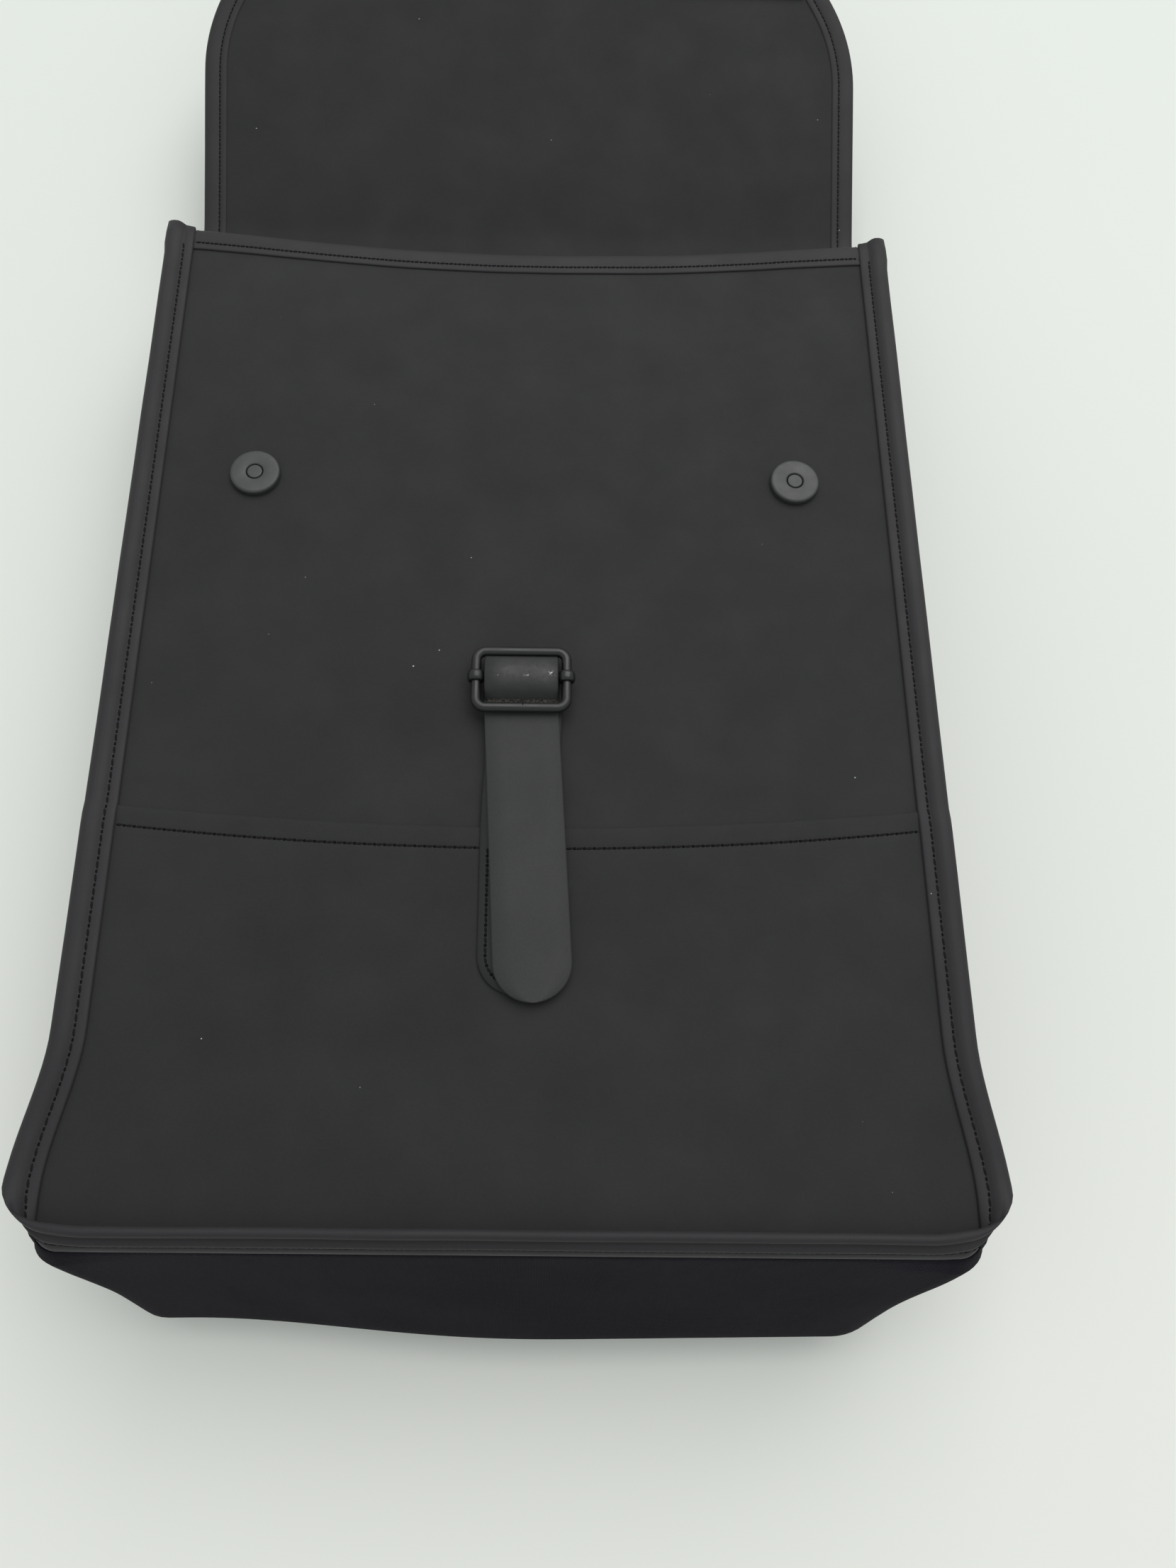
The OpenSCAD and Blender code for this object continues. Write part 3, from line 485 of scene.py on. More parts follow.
camera = {"place": (6.2, -253.24, 440.49), "lean": 15.768, "turn": -8.273, "roll": 8.395, "lens": 27.031}
light = {"world": (0.93, 0.965, 0.955), "worldPower": 0.65, "lampPower": 88.0, "lampSize": 3.4,
         "lampPlace": (650, 1700, 3000), "lampTint": (1.0, 0.985, 0.965),
         # floorNear to floorFar: painted shade, the floor coloured darker towards its far end
         "floorNear": (0.785, 0.800, 0.765), "floorFar": (0.715, 0.745, 0.715), "floorSize": 6000,
         "floorFade": (-0.35, 0.3)}


def makeCamera():
    lean, turn, roll = (math.radians(camera[k]) for k in ("lean", "turn", "roll"))
    spin = Matrix.Rotation(turn, 3, "Z")
    ahead = spin @ Vector((0, math.sin(lean), -math.cos(lean)))
    top = spin @ Vector((0, math.cos(lean), math.sin(lean)))
    side = spin @ Vector((1, 0, 0))
    right = side * math.cos(roll) + top * math.sin(roll)
    up = top * math.cos(roll) - side * math.sin(roll)
    data = bpy.data.cameras.new("camera")
    data.lens = camera["lens"]
    data.sensor_width = 36
    obj = bpy.data.objects.new("camera", data)
    bpy.context.scene.collection.objects.link(obj)
    placed = Matrix((right, up, -ahead)).transposed().to_4x4()
    placed.translation = Vector(camera["place"]) * mm
    obj.matrix_world = placed
    bpy.context.scene.camera = obj


def makeStage():
    n = Nodes("floor_board", 0.75, Specular_IOR_Level=0.2)
    apart = n.add("ShaderNodeSeparateXYZ")
    n.put(apart.inputs[0], n.place())
    # Painted shade: the floor is coloured darker from near to far along Y, standing in for the light falling
    # off, with a faint cloudy unevenness
    uneven = n.curve(n.cloud(3.0, 3.0), 0.35, 0.65, -0.06, 0.06)
    far = n.math("ADD", n.curve(apart.outputs[1], *light["floorFade"]), uneven)
    n.colour(n.blend(far, tint(light["floorNear"], 1.0), tint(light["floorFar"], 1.0)))
    n.bump((n.cloud(500.0, 3.0), 0.05, 0.15))
    half = light["floorSize"] / 2
    z = cadLow.z / mm
    floor = makeMesh("floor", [(-half, -half, z), (half, -half, z), (half, half, z), (-half, half, z)],
                     [(0, 1, 2, 3)], n.material, closed=False)
    world = bpy.data.worlds.new("soft_room")
    bpy.context.scene.world = world
    world.use_nodes = True
    background = world.node_tree.nodes["Background"]
    background.inputs[0].default_value = (*light["world"], 1)
    background.inputs[1].default_value = light["worldPower"]
    lamp = bpy.data.lights.new("window", "AREA")
    lamp.size = light["lampSize"]
    lamp.energy = light["lampPower"]
    lamp.color = light["lampTint"]
    obj = bpy.data.objects.new("window", lamp)
    bpy.context.scene.collection.objects.link(obj)
    obj.location = Vector(light["lampPlace"]) * mm
    obj.rotation_euler = (-obj.location).to_track_quat("-Z", "Y").to_euler()
    bpy.context.scene.view_settings.view_transform = "Standard"


makeCamera()
makeStage()
print("camera, floor and light made")

# The front panel slopes down to the mouth, and the pieces on it are placed over its plane
upperLow, upperHigh = nodeBox("front_upper_panel")
backLow, backHigh = nodeBox("back_panel")
slope = math.radians(4.0)
mouthY = nodeBox("gusset")[1].y
frontUp = Vector((0, math.sin(slope), math.cos(slope)))
frontDown = Vector((0, -math.cos(slope), math.sin(slope)))
sideX = Vector((1, 0, 0))

front = {"half": 131.7, "flare": (7.3, 5.6), "flareFrom": 310.0, "flareRun": 48.0, "bottom": 372.7,
         "cornerRadius": 7.0, "mouthSag": 4.6, "mouthDip": 4.0, "sagRun": 92.0, "ripple": 0.35,
         "clothThick": 1.4, "tilt": 2.0, "tiltFrom": 195.0, "tiltRun": 175.0, "tiltHalf": 125.0,
         "lap": 237.4, "lapDrop": 7.0, "lapRun": 5.0, "lapThick": 0.9, "lapStitch": 7.4, "lapPitch": 3.25}


def frontZ(y):
    return upperHigh.z - (y - upperLow.y) * math.tan(slope)


# Share of the front's slack across its width, from none at the tape to all in the middle
def fromTape(x):
    return max(0.0, 1 - (x / front["half"]) ** 2) ** 1.25


def mouthSlack(x, y):
    return fromTape(x) * (1 - smooth((mouthY - y) / front["sagRun"]))


def frontSag(x, y):
    ripple = noise.noise(Vector((x / 46, y / 38, 3.1))) + 0.5 * noise.noise(Vector((x / 19, y / 23, 7.7)))
    return front["mouthSag"] * mouthSlack(x, y) - front["ripple"] * ripple * min(1.0, fromTape(x) * 4)


# Y of a place once the bag is sheared: its lower right corner hangs lowest
def tilted(x, y):
    across = 1 + max(-1.0, min(1.0, x / front["tiltHalf"]))
    return y - front["tilt"] * across * smooth((mouthY - y - front["tiltFrom"]) / front["tiltRun"])


# Point over the front panel's outer face, lifted off it
def onFront(x, y, lift=0.0, sagging=True):
    if sagging:
        y -= front["mouthDip"] * mouthSlack(x, y)
        lift -= frontSag(x, y)
        y = tilted(x, y)
    return Vector((x, y, frontZ(y))) + frontUp * lift


# Half of the lower front's width at a height; side is 0 for the left and 1 for the right
def frontHalf(y, side):
    depth = mouthY - y
    half = front["half"] + front["flare"][side] * smooth((depth - front["flareFrom"]) / front["flareRun"])
    bend = front["cornerRadius"] - (front["bottom"] - depth)
    if bend > 0:
        half += math.sqrt(max(0.0, front["cornerRadius"] ** 2 - bend ** 2)) - front["cornerRadius"]
    return half


def lapY(x):
    return mouthY - front["lap"] - front["lapDrop"] * (1 - (x / front["half"]) ** 2)


def lapLift(y):
    return front["lapThick"] * smooth((mouthY - front["lap"] - y) / front["lapRun"])


lapEdge = [(0.0, -0.35), (0.1, 0.1), (0.35, 0.5), (0.8, 0.82), (1.6, 0.95), (3.4, 0.97), (5.4, 0.93),
           (6.6, 0.88), (7.1, 0.76), (7.4, 0.72), (7.7, 0.76), (8.3, 0.87), (10.0, 0.9), (14.0, 0.9)]
underTape, underLap = 4.0, 11.0  # how far the panels reach under the tape and the lap


def frontPanels():
    columns = 97
    rows = []
    for t in spread(0, 1, 90):
        row = []
        for f in spread(-1, 1, columns):
            x = f * (front["half"] + underTape)
            y = mix(mouthY - 0.3, lapY(x) - underLap, t)
            row.append(tuple(onFront(x, y)))
        rows.append(row)
    upper = clothSheet("upper_panel_cloth", rows, cloth, front["clothThick"], flip=True)
    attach(upper, "root")
    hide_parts("front_upper_panel")

    rows = []
    bottom = mouthY - front["bottom"]
    for drop, lift in lapEdge:
        rows.append([tuple(onFront(f * (front["half"] + underTape), lapY(f * front["half"]) - drop, lift))
                     for f in spread(-1, 1, columns)])
    for t in spread(0, 1, 64)[1:]:
        row = []
        for f in spread(-1, 1, columns):
            y = mix(lapY(f * front["half"]) - lapEdge[-1][0], bottom, t)
            narrowing = smooth((mouthY - y - front["flareFrom"] - 40) / 40)
            half = frontHalf(y, int(f > 0)) + underTape * (1 - narrowing)
            row.append(tuple(onFront(f * half, y, front["lapThick"])))
        rows.append(row)
    lower = clothSheet("lower_panel_cloth", rows, cloth, front["lapThick"] - 0.04, flip=True)
    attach(lower, "root")
    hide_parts("front_lower_panel")

    path = [(onFront(x, lapY(x) - front["lapStitch"], 0.78), frontUp)
            for x in spread(-front["half"] + 0.5, front["half"] - 0.5, 60)]
    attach(stitchRow("lap_stitches", path, front["lapPitch"]), "root")


frontPanels()
print("front panels made")

# The folded tape: leans in degrees, and where it turns in over the bottom
tape = {"sideLean": 7.0, "cornerLean": 10.0, "bottomRoot": 60.0, "bottomTip": 30.0, "turnFrom": 347.0,
        "turnTo": 126.0, "ear": 2.5, "earRoot": 0.9, "earRun": 13.0, "waver": 0.22, "stitchIn": 3.5,
        "pitch": 4.4}
tapeStep, tapeSteps = 0.5, 22  # its middle line across its width is a chain of short steps
sidePlaces, cornerPlaces, bottomPlaces = 92, 13, 32  # stations down a side, round a corner, to the middle
# (distance out from the seam, height over the tape's middle) on the panel's side and on the gusset's side
panelSide = [(0.0, 0.35), (0.15, 0.8), (0.6, 0.98), (1.8, 1.0), (2.9, 0.95), (3.25, 0.82), (3.5, 0.74),
             (3.75, 0.82), (4.2, 1.1), (5.2, 1.62), (6.6, 1.95), (8.2, 1.9), (9.5, 1.42), (10.35, 0.7)]
gussetSide = [(10.35, -0.8), (9.8, -1.5), (9.1, -1.8), (8.3, -1.6), (7.6, -0.9), (7.1, -0.5), (6.6, -0.6),
              (5.8, -1.45), (5.0, -1.75), (4.3, -1.4), (3.7, -0.8), (3.4, -0.7), (3.1, -0.82), (2.6, -1.05),
              (1.4, -1.05), (0.5, -0.98), (0.1, -0.7), (0.0, -0.35)]
tapeReach = [0.0, 0.15, 0.6, 1.6, 2.7, 3.1, 3.45, 3.8, 4.3, 4.9,
             5.5, 6.1, 6.6, 7.1, 7.6, 8.2, 8.8, 9.4, 9.9, 10.35]


# The tape's outline at a station: along the bottom its gusset side faces up
def tapeRing(share):
    smoothSide = np.interp(tapeReach, *zip(*panelSide))
    ridged = -np.interp(tapeReach, *zip(*reversed(gussetSide)))
    over, under = mix(smoothSide, ridged, share), mix(ridged, smoothSide, share)
    upper, lower = list(zip(tapeReach, over)), list(zip(tapeReach, under))
    return upper + [(10.6, 0.0)] + [(a, -b) for a, b in reversed(lower)]


# Half of the seam line, from the mouth down one side to the middle of the bottom
def seamHalf(side):
    radius = front["cornerRadius"]
    cornerY = mouthY - front["bottom"] + radius
    places = [(-frontHalf(y, side), y) for y in spread(mouthY, cornerY, sidePlaces)[:-1]]
    centreX = -frontHalf(cornerY, side) + radius
    places += arc(centreX, cornerY, radius, 180, 270, cornerPlaces)
    return places + [(x, mouthY - front["bottom"]) for x in spread(centreX, 0, bottomPlaces)[1:]]


def seamPoint(x, y):
    return onFront(x, tilted(x, y), 0.15 + lapLift(y), sagging=False)


def mirrored(v):
    return Vector((-v.x, v.y, v.z))


# One side's stations of the tape: seam point, way out, the middle and normals across the width, the place
# along the seam, and the share by which the tape has turned over
def tapeHalf(side):
    half = seamHalf(side)
    spots = [mirrored(seamPoint(-x, y)) if side else seamPoint(x, y) for x, y in half]
    steps = lengths(spots)
    start = next(s for s, (x, y) in zip(steps, half) if mouthY - y >= tape["turnFrom"])
    bottom = mouthY - front["bottom"] + 0.01
    end = next(s for s, (x, y) in zip(steps, half) if x > -tape["turnTo"] and y < bottom)
    result = []
    for spot, s in zip(spots, steps):
        turn = smooth((s - start) / (end - start))
        angle = math.radians(180 - 90 * turn)
        flat = Vector((math.cos(angle), math.sin(angle), 0))
        hump = 4 * turn * (1 - turn)
        root = mix(tape["sideLean"], tape["bottomRoot"], turn ** 2.5) + tape["cornerLean"] * hump
        tip = mix(tape["sideLean"], tape["bottomTip"], turn ** 2.5) + tape["cornerLean"] * hump
        middle, normals, here = [], [], Vector(spot)
        for i in range(tapeSteps + 1):
            lean = math.radians(mix(root, tip, (i / tapeSteps) ** 1.3))
            middle.append(here.copy())
            normals.append(Vector((0, 0, math.cos(lean))) - flat * math.sin(lean))
            here += (flat * math.cos(lean) + Vector((0, 0, math.sin(lean)))) * tapeStep
        result.append((spot, flat, middle, normals, s, smooth((turn - 0.3) / 0.4)))
    return result


def tapeStations():
    left, right = tapeHalf(0), tapeHalf(1)
    total = left[-1][4] + right[-1][4]
    flip = [(mirrored(p), mirrored(o), [mirrored(m) for m in ms], [mirrored(n) for n in ns], total - s, f)
            for p, o, ms, ns, s, f in reversed(right[:-1])]
    return left + flip


stations = tapeStations()
tapeLength = stations[-1][4]


def tapeNormal(station, a):
    return station[3][min(tapeSteps, round(a / tapeStep))]


# Point of the tape, a out from the seam and b over its middle; its two ends stand up as ears
def tapePoint(station, a, b):
    spot, out, middle, normals, s, _ = station
    k = min(tapeSteps - 1, int(a / tapeStep))
    part = a / tapeStep - k
    normal = normals[k].lerp(normals[k + 1], part)
    stretch = 1 - smooth(min(s, tapeLength - s) / tape["earRun"])
    waver = tape["waver"] * noise.noise(Vector((spot.x / 30, spot.y / 30, 1.7 + a / 9)))
    point = middle[k].lerp(middle[k + 1], part) + normal * (b + waver * a / 6)
    end = mix(tape["earRoot"], tape["ear"], smooth((a - 1.0) / 6.0))
    point -= frontDown * end * stretch
    return point + out * 0.2 * a * stretch * (1 - stretch) + normal * stretch * 0.25


def frontTape():
    rings = [[tuple(tapePoint(st, a, b)) for a, b in tapeRing(st[5])] for st in stations]
    obj = loft("front_tape", rings, tapeCloth)
    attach(obj, "root")
    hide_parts("front_binding")
    a = tape["stitchIn"]
    onPanel = [(tapePoint(st, a, 0.8), tapeNormal(st, a)) for st in stations]
    onGusset = [(tapePoint(st, a, -0.74), -tapeNormal(st, a)) for st in stations]
    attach(stitchRow("tape_stitches_panel", onPanel[2:-2], tape["pitch"]), "root")
    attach(stitchRow("tape_stitches_gusset", onGusset[2:-2], tape["pitch"], 0.8), "root")


frontTape()
print("tape made")

hem = {"width": 9.5, "over": 0.6, "stitchUp": 2.6, "pitch": 3.4}
# (distance down from the hem's top edge, height over the panel)
hemShape = [(9.7, -0.1), (9.7, 0.45), (9.45, 0.68), (8.6, 0.72), (7.6, 0.66), (7.2, 0.6), (6.9, 0.56),
            (6.6, 0.62), (6.1, 0.74), (4.4, 0.95), (2.4, 0.9), (1.0, 0.62), (0.25, 0.05), (0.0, -0.7),
            (0.25, -1.45), (1.2, -2.0), (5.0, -2.05), (9.4, -2.0), (9.6, -1.75), (9.6, -1.2)]


def mouthHem():
    rings = []
    for x in spread(-front["half"] - 1.5, front["half"] + 1.5, 110):
        rings.append([tuple(onFront(x, mouthY + hem["over"] - d, b)) for d, b in hemShape])
    obj = loft("mouth_hem_tape", rings, tapeCloth)
    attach(obj, "root")
    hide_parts("mouth_hem")
    line = mouthY - (hem["width"] - hem["stitchUp"] - hem["over"]) + 0.3
    path = [(onFront(x, line, 0.62), frontUp) for x in spread(-front["half"] + 1, front["half"] - 1, 80)]
    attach(stitchRow("hem_stitches", path, hem["pitch"]), "root")


mouthHem()
print("hem made")

# The back panel's lower corners are cut off by cutX and cutY, and its lower edge is uneven by lift and drop
wall = {"cloth": 1.0, "cutX": (12.5, 23.5), "cutY": 15.0, "cutTurn": 6.0, "lift": 6.5, "drop": 1.3,
        "sideSlack": 6.5, "bottomSlack": 1.6, "cornerSwell": 3.0, "cornerRun": 8.0, "footUp": 2.4}


def rounded(a, b, c, count=6):
    return [a * (1 - t) ** 2 + b * 2 * t * (1 - t) + c * t * t for t in spread(0, 1, count)]


# Half of the back panel's edge, with as many places as the seam has
def backHalf(side):
    low = Vector((backLow.x, backLow.y + wall["cutY"]))
    left = Vector((backLow.x + wall["cutX"][side], backLow.y))
    cut = (left - low).normalized()
    corner = [low + Vector((0, 1)) * wall["cutTurn"], low, low + cut * wall["cutTurn"],
              left - cut * wall["cutTurn"], left, left + Vector((1, 0)) * wall["cutTurn"]]
    places = [Vector((backLow.x, y)) for y in spread(backHigh.y, corner[0].y, sidePlaces)[:-1]]
    places += rounded(*corner[:3]) + [(corner[2] + corner[3]) / 2] + rounded(*corner[3:])
    return places + [Vector((x, backLow.y)) for x in spread(corner[5].x, 0, bottomPlaces)[1:]]


# The back panel's whole edge: each place with the way out from it
def backRim():
    left, right = backHalf(0), backHalf(1)
    rim = left + [Vector((-p.x, p.y)) for p in reversed(right[:-1])]
    for p in rim:
        raised = wall["lift"] * smooth((23 - p.x) / 130) ** 1.5 - wall["drop"] * smooth((p.x + 110) / 130)
        p.y += raised * smooth((backLow.y + 60 - p.y) / 60)
    return [(p.x, p.y, ahead.y, -ahead.x) for p, ahead in zip(rim, headings(rim))]


rim = backRim()


# Point on the gusset: v is 0 at the front seam and 1 at the back panel's edge
def wallPoint(k, v):
    spot, out, middle, normals, s, _ = stations[k]
    x, y, nx, ny = rim[k]
    top = spot - normals[0] * 0.5 - out * 0.2
    foot = Vector((x, y, backLow.z + wall["footUp"]))
    away = Vector((nx, ny, 0))
    fromMouth = min(s, tapeLength - s)
    bottom = smooth(-ny * 1.2)
    slack = mix(wall["sideSlack"], wall["bottomSlack"], bottom) * mix(0.35, 1.0, smooth(fromMouth / 70))
    fold = 0.65 + 0.6 * noise.noise(Vector((s / 34, v * 1.2, 2.2)))
    crease = 0.9 * noise.noise(Vector((s / 11, v * 2.5, 5.5)))
    crease += 1.1 * noise.noise(Vector((s / 27, v * 3.1, 9.5)))
    toCorner = min(k, len(stations) - 1 - k) - (sidePlaces - 1 + cornerPlaces // 2)
    corner = math.exp(-(toCorner / wall["cornerRun"]) ** 2)
    slack *= 1 - 0.85 * corner
    bulge = wall["cornerSwell"] * corner * smooth(v / 0.1) * (1 - smooth((v - 0.12) / 0.6))
    swell = math.sin(math.pi * v) ** 0.9
    crease *= mix(1.0, 0.45, bottom) * (1 - 0.7 * corner)
    return top.lerp(foot, v) - away * ((slack * fold + crease) * swell - bulge)


def gussetWall():
    across = spread(0, 1, 22)
    under = [(0.3, 1.1), (1.0, 0.35), (2.2, 0.0), (4.0, -0.02), (7.5, 0.0)]
    rows = []
    for k in range(len(stations)):
        x, y, nx, ny = rim[k]
        row = [tuple(wallPoint(k, v)) for v in across]
        row += [(x - nx * inset, y - ny * inset, backLow.z + lift) for inset, lift in under]
        rows.append(row)
    obj = clothSheet("gusset_canvas", rows, canvas, wall["cloth"], flip=True)
    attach(obj, "root")
    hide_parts("gusset")


def gussetHems():
    shape = [(-0.9, 0.0), (-0.5, 1.0), (0.6, 1.25), (5.6, 1.2), (6.1, 0.95), (6.6, 1.2), (8.9, 1.15),
             (9.2, 0.8)]
    shape += [(d, -b) for d, b in reversed(shape[1:])]
    for name, k, sign in (("left", 0, -1), ("right", len(stations) - 1, 1)):
        rings, path = [], []
        for v in spread(0.0, 1.0, 26):
            edge = wallPoint(k, v)
            down = (wallPoint(k - 6 * sign, v) - edge).normalized()
            out = Vector((sign, 0, 0))
            rings.append([tuple(edge + down * d + out * (b - 0.5)) for d, b in shape])
            path.append((edge + down * 6.1 + out * 0.5, out))
        obj = loft("gusset_hem_" + name, rings, tapeCloth)
        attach(obj, "root")
        if name == "left":
            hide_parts("gusset_hems")
        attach(stitchRow("gusset_hem_stitches_" + name, path, 3.4, 0.85), "root")


def backPanel():
    inset = 4.2
    high = backHigh.y + 1.2
    inner = [(x - nx * inset, y - ny * inset) for x, y, nx, ny in rim]
    count = len(inner)
    middle = (count - 1) // 2
    rows = []
    for k in range(2, middle - 10):
        (xa, ya), (xb, yb) = inner[k], inner[count - 1 - k]
        ya, yb = (high, high) if k == 2 else (ya, yb)
        row = []
        for f in spread(0, 1, 50):
            x, y = mix(xa, xb, f), mix(ya, yb, f)
            puff = 0.1 * noise.noise(Vector((x / 60, y / 60, 4.0)))
            row.append((x, y, backLow.z - 0.55 + puff * 16 * (f * (1 - f)) ** 2))
        rows.append(row)
    obj = clothSheet("back_panel_cloth", rows, cloth, 1.2, flip=True)
    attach(obj, "root")
    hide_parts("back_panel")
    seam = inset + 2.6
    path = [((x - nx * seam, y - ny * seam, backLow.z - 0.5), (0, 0, -1)) for x, y, nx, ny in rim[2:-2]]
    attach(stitchRow("back_seam_stitches", path, 3.8), "root")
    for i, y in enumerate((backHigh.y - 1.6, backHigh.y - 8.6)):
        path = [((x, y, backLow.z - 0.52), (0, 0, -1)) for x in spread(-124, 124, 30)]
        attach(stitchRow(f"board_stitches_{i + 1}", path, 3.6), "root")


gussetWall()
gussetHems()
backPanel()
print("gusset and back made")

hinge, fold = jointPlace["flap_open"], jointPlace["flap_fold"]
flap = {"half": 138.5, "tape": 9.5, "clothThick": 1.4, "lidLift": 16.0, "lidLength": 142.5, "bendRun": 6.0,
        "wide": 72.0, "wideTurn": 30.0, "straight": 15.0, "corner": 50.0, "stitchIn": 6.5, "pitch": 3.6,
        "split": 20.5, "taper": 74.0, "facing": 36.0, "facingThick": 1.2, "wave": 0.7}
roofLength = math.hypot(fold.y - hinge.y, fold.z - hinge.z)
roofLift = math.degrees(math.atan2(fold.z - hinge.z, fold.y - hinge.y))
lidStart = flap["lidLength"] - flap["taper"]
lidPlace = 180.0  # a length along the flap well past both bends


# Slope of the flap at a length from the hinge: roof, then lid
def sheetAngle(t):
    bend = flap["bendRun"]
    first = roofLift * smooth((t + bend) / (2 * bend))
    return math.radians(first + (flap["lidLift"] - roofLift) * smooth((t - roofLength + bend) / (2 * bend)))


# The flap's middle line, as a table of length, Y, Z and angle
def flapLine():
    start, step, count = -20.0, 0.5, 430
    table, y, z = [], 0.0, 0.0
    for i in range(count):
        t = start + step * i
        table.append((t, y, z, sheetAngle(t)))
        y += step * math.cos(sheetAngle(t + step / 2))
        z += step * math.sin(sheetAngle(t + step / 2))
    anchor = next(row for row in table if row[0] >= -1e-6)
    return [(t, y - anchor[1] + hinge.y, z - anchor[2] + hinge.z, a) for t, y, z, a in table]


flapTable = np.array(flapLine())


# Point of the flap: across, along from the hinge, and off its middle towards the inner face
def onFlap(x, t, b=0.0):
    y, z, a = (float(np.interp(t, flapTable[:, 0], flapTable[:, i])) for i in (1, 2, 3))
    up = Vector((0, -math.sin(a), math.cos(a)))
    wave = noise.noise(Vector((x / 55, t / 50, 6.0))) * flap["wave"] * smooth((t - 60) / 50)
    return Vector((x, y, z)) + up * (b + wave)


def flapUp(t):
    a = float(np.interp(t, flapTable[:, 0], flapTable[:, 3]))
    return Vector((0, -math.sin(a), math.cos(a)))


# Right half of the flap's outline beyond the split: place and way out
def flapOutline():
    cx, cy, r = flap["half"] - flap["wide"], roofLength + lidStart, flap["wide"]
    turn = flap["wideTurn"]
    edge = [(flap["half"], t, 1.0, 0.0) for t in spread(flap["split"], cy, 36)[:-1]]
    for a in spread(0, turn, 14):
        c, s = math.cos(math.radians(a)), math.sin(math.radians(a))
        edge.append((cx + r * c, cy + r * s, c, s))
    c, s = math.cos(math.radians(turn)), math.sin(math.radians(turn))
    x, y = edge[-1][:2]
    edge += [(x - flap["straight"] * s * f, y + flap["straight"] * c * f, c, s) for f in (0.33, 0.66, 1.0)]
    x, y = edge[-1][:2]
    cx, cy, r = x - flap["corner"] * c, y - flap["corner"] * s, flap["corner"]
    for a in spread(turn, 90, 18)[1:]:
        c, s = math.cos(math.radians(a)), math.sin(math.radians(a))
        edge.append((cx + r * c, cy + r * s, c, s))
    edge += [(x, edge[-1][1], 0.0, 1.0) for x in spread(edge[-1][0], 0, 18)[1:]]
    return edge


rightEdge = flapOutline()
flapEdge = rightEdge + [(-x, t, -nx, nt) for x, t, nx, nt in reversed(rightEdge[:-1])]


# Half the flap's width at a length, less an inset
def flapHalf(t, inset):
    ts = [e[1] - e[3] * inset for e in rightEdge]
    xs = [e[0] - e[2] * inset for e in rightEdge]
    return float(np.interp(t, ts, xs)) if t > ts[0] else flap["half"] - inset


# (distance in from the flap's edge, height over its middle)
flapRing = [(0.0, 0.0), (0.35, 0.75), (1.3, 1.2), (3.2, 1.32), (5.2, 1.22), (6.1, 1.0), (6.5, 0.82),
            (6.9, 1.0), (7.5, 1.18), (8.9, 1.14), (9.35, 0.98), (9.5, 0.55)]
flapRing += [(a, -b) for a, b in reversed(flapRing[1:])]


def bendRoof(obj):
    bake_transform(obj)


def bendLid(obj):
    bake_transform(obj)


def flapPart(name, rows, bend, node):
    obj = clothSheet(name, rows, cloth, flap["clothThick"])
    bend(obj)
    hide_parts(node)


def flapTape(name, edge, bend, nodes):
    rings = [[tuple(onFlap(x - nx * a, t - nt * a, b)) for a, b in flapRing] for x, t, nx, nt in edge]
    obj = loft(name, rings, tapeCloth)
    bend(obj)
    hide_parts(*nodes)
    a = flap["stitchIn"]
    for side, lift in (("inner", 0.92), ("outer", -0.92)):
        path = [(onFlap(x - nx * a, t - nt * a, lift), flapUp(t) * lift) for x, t, nx, nt in edge]
        bend(stitchRow(f"{name}_stitches_{side}", path, flap["pitch"], 0.85))


def makeFlap():
    half, under, top = flap["half"], underTape, flap["clothThick"] / 2
    rows = [[tuple(onFlap(f * (half - under), t, top)) for f in spread(-1, 1, 61)]
            for t in spread(-4.5, flap["split"], 30)]
    flapPart("flap_roof_cloth", rows, bendRoof, "flap_roof")
    end = rightEdge[-1][1] - under
    rows = []
    wide = roofLength + lidStart
    for t in spread(flap["split"], wide, 50)[:-1] + spread(wide, end - 0.2, 60):
        rows.append([tuple(onFlap(f * flapHalf(t, under), t, top)) for f in spread(-1, 1, 61)])
    flapPart("flap_front_cloth", rows, bendLid, "flap_front")

    lift = flap["clothThick"] / 2 + flap["facingThick"]
    start = roofLength + flap["lidLength"] - flap["facing"]
    last = rightEdge[-1][1] - flap["tape"] - 0.4
    rows = []
    for t in spread(start, last, 30):
        rows.append([tuple(onFlap(f * flapHalf(t, flap["tape"] + 0.3), t, lift)) for f in spread(-1, 1, 61)])
    facing = clothSheet("flap_facing_cloth", rows, cloth, flap["facingThick"] - 0.03)
    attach(facing, "flap_front")
    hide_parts("flap_facing")
    path = [(onFlap(x, start + 2.4, lift + 0.05), flapUp(start)) for x in spread(-118, 118, 30)]
    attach(stitchRow("flap_facing_stitches", path, 3.4, 0.9), "flap_front")

    for name, sign in (("left", -1), ("right", 1)):
        edge = [(sign * half, t, sign, 0.0) for t in spread(-4.5, flap["split"], 26)]
        nodes = ["flap_roof_bindings"] if sign < 0 else []
        flapTape("flap_roof_tape_" + name, edge, bendRoof, nodes)
    flapTape("flap_front_tape", flapEdge, bendLid, ["flap_front_binding"])


makeFlap()
print("flap made")

snap = {"radius": 9.0, "height": 2.4, "sink": 0.8, "hole": 3.05, "core": 2.72}


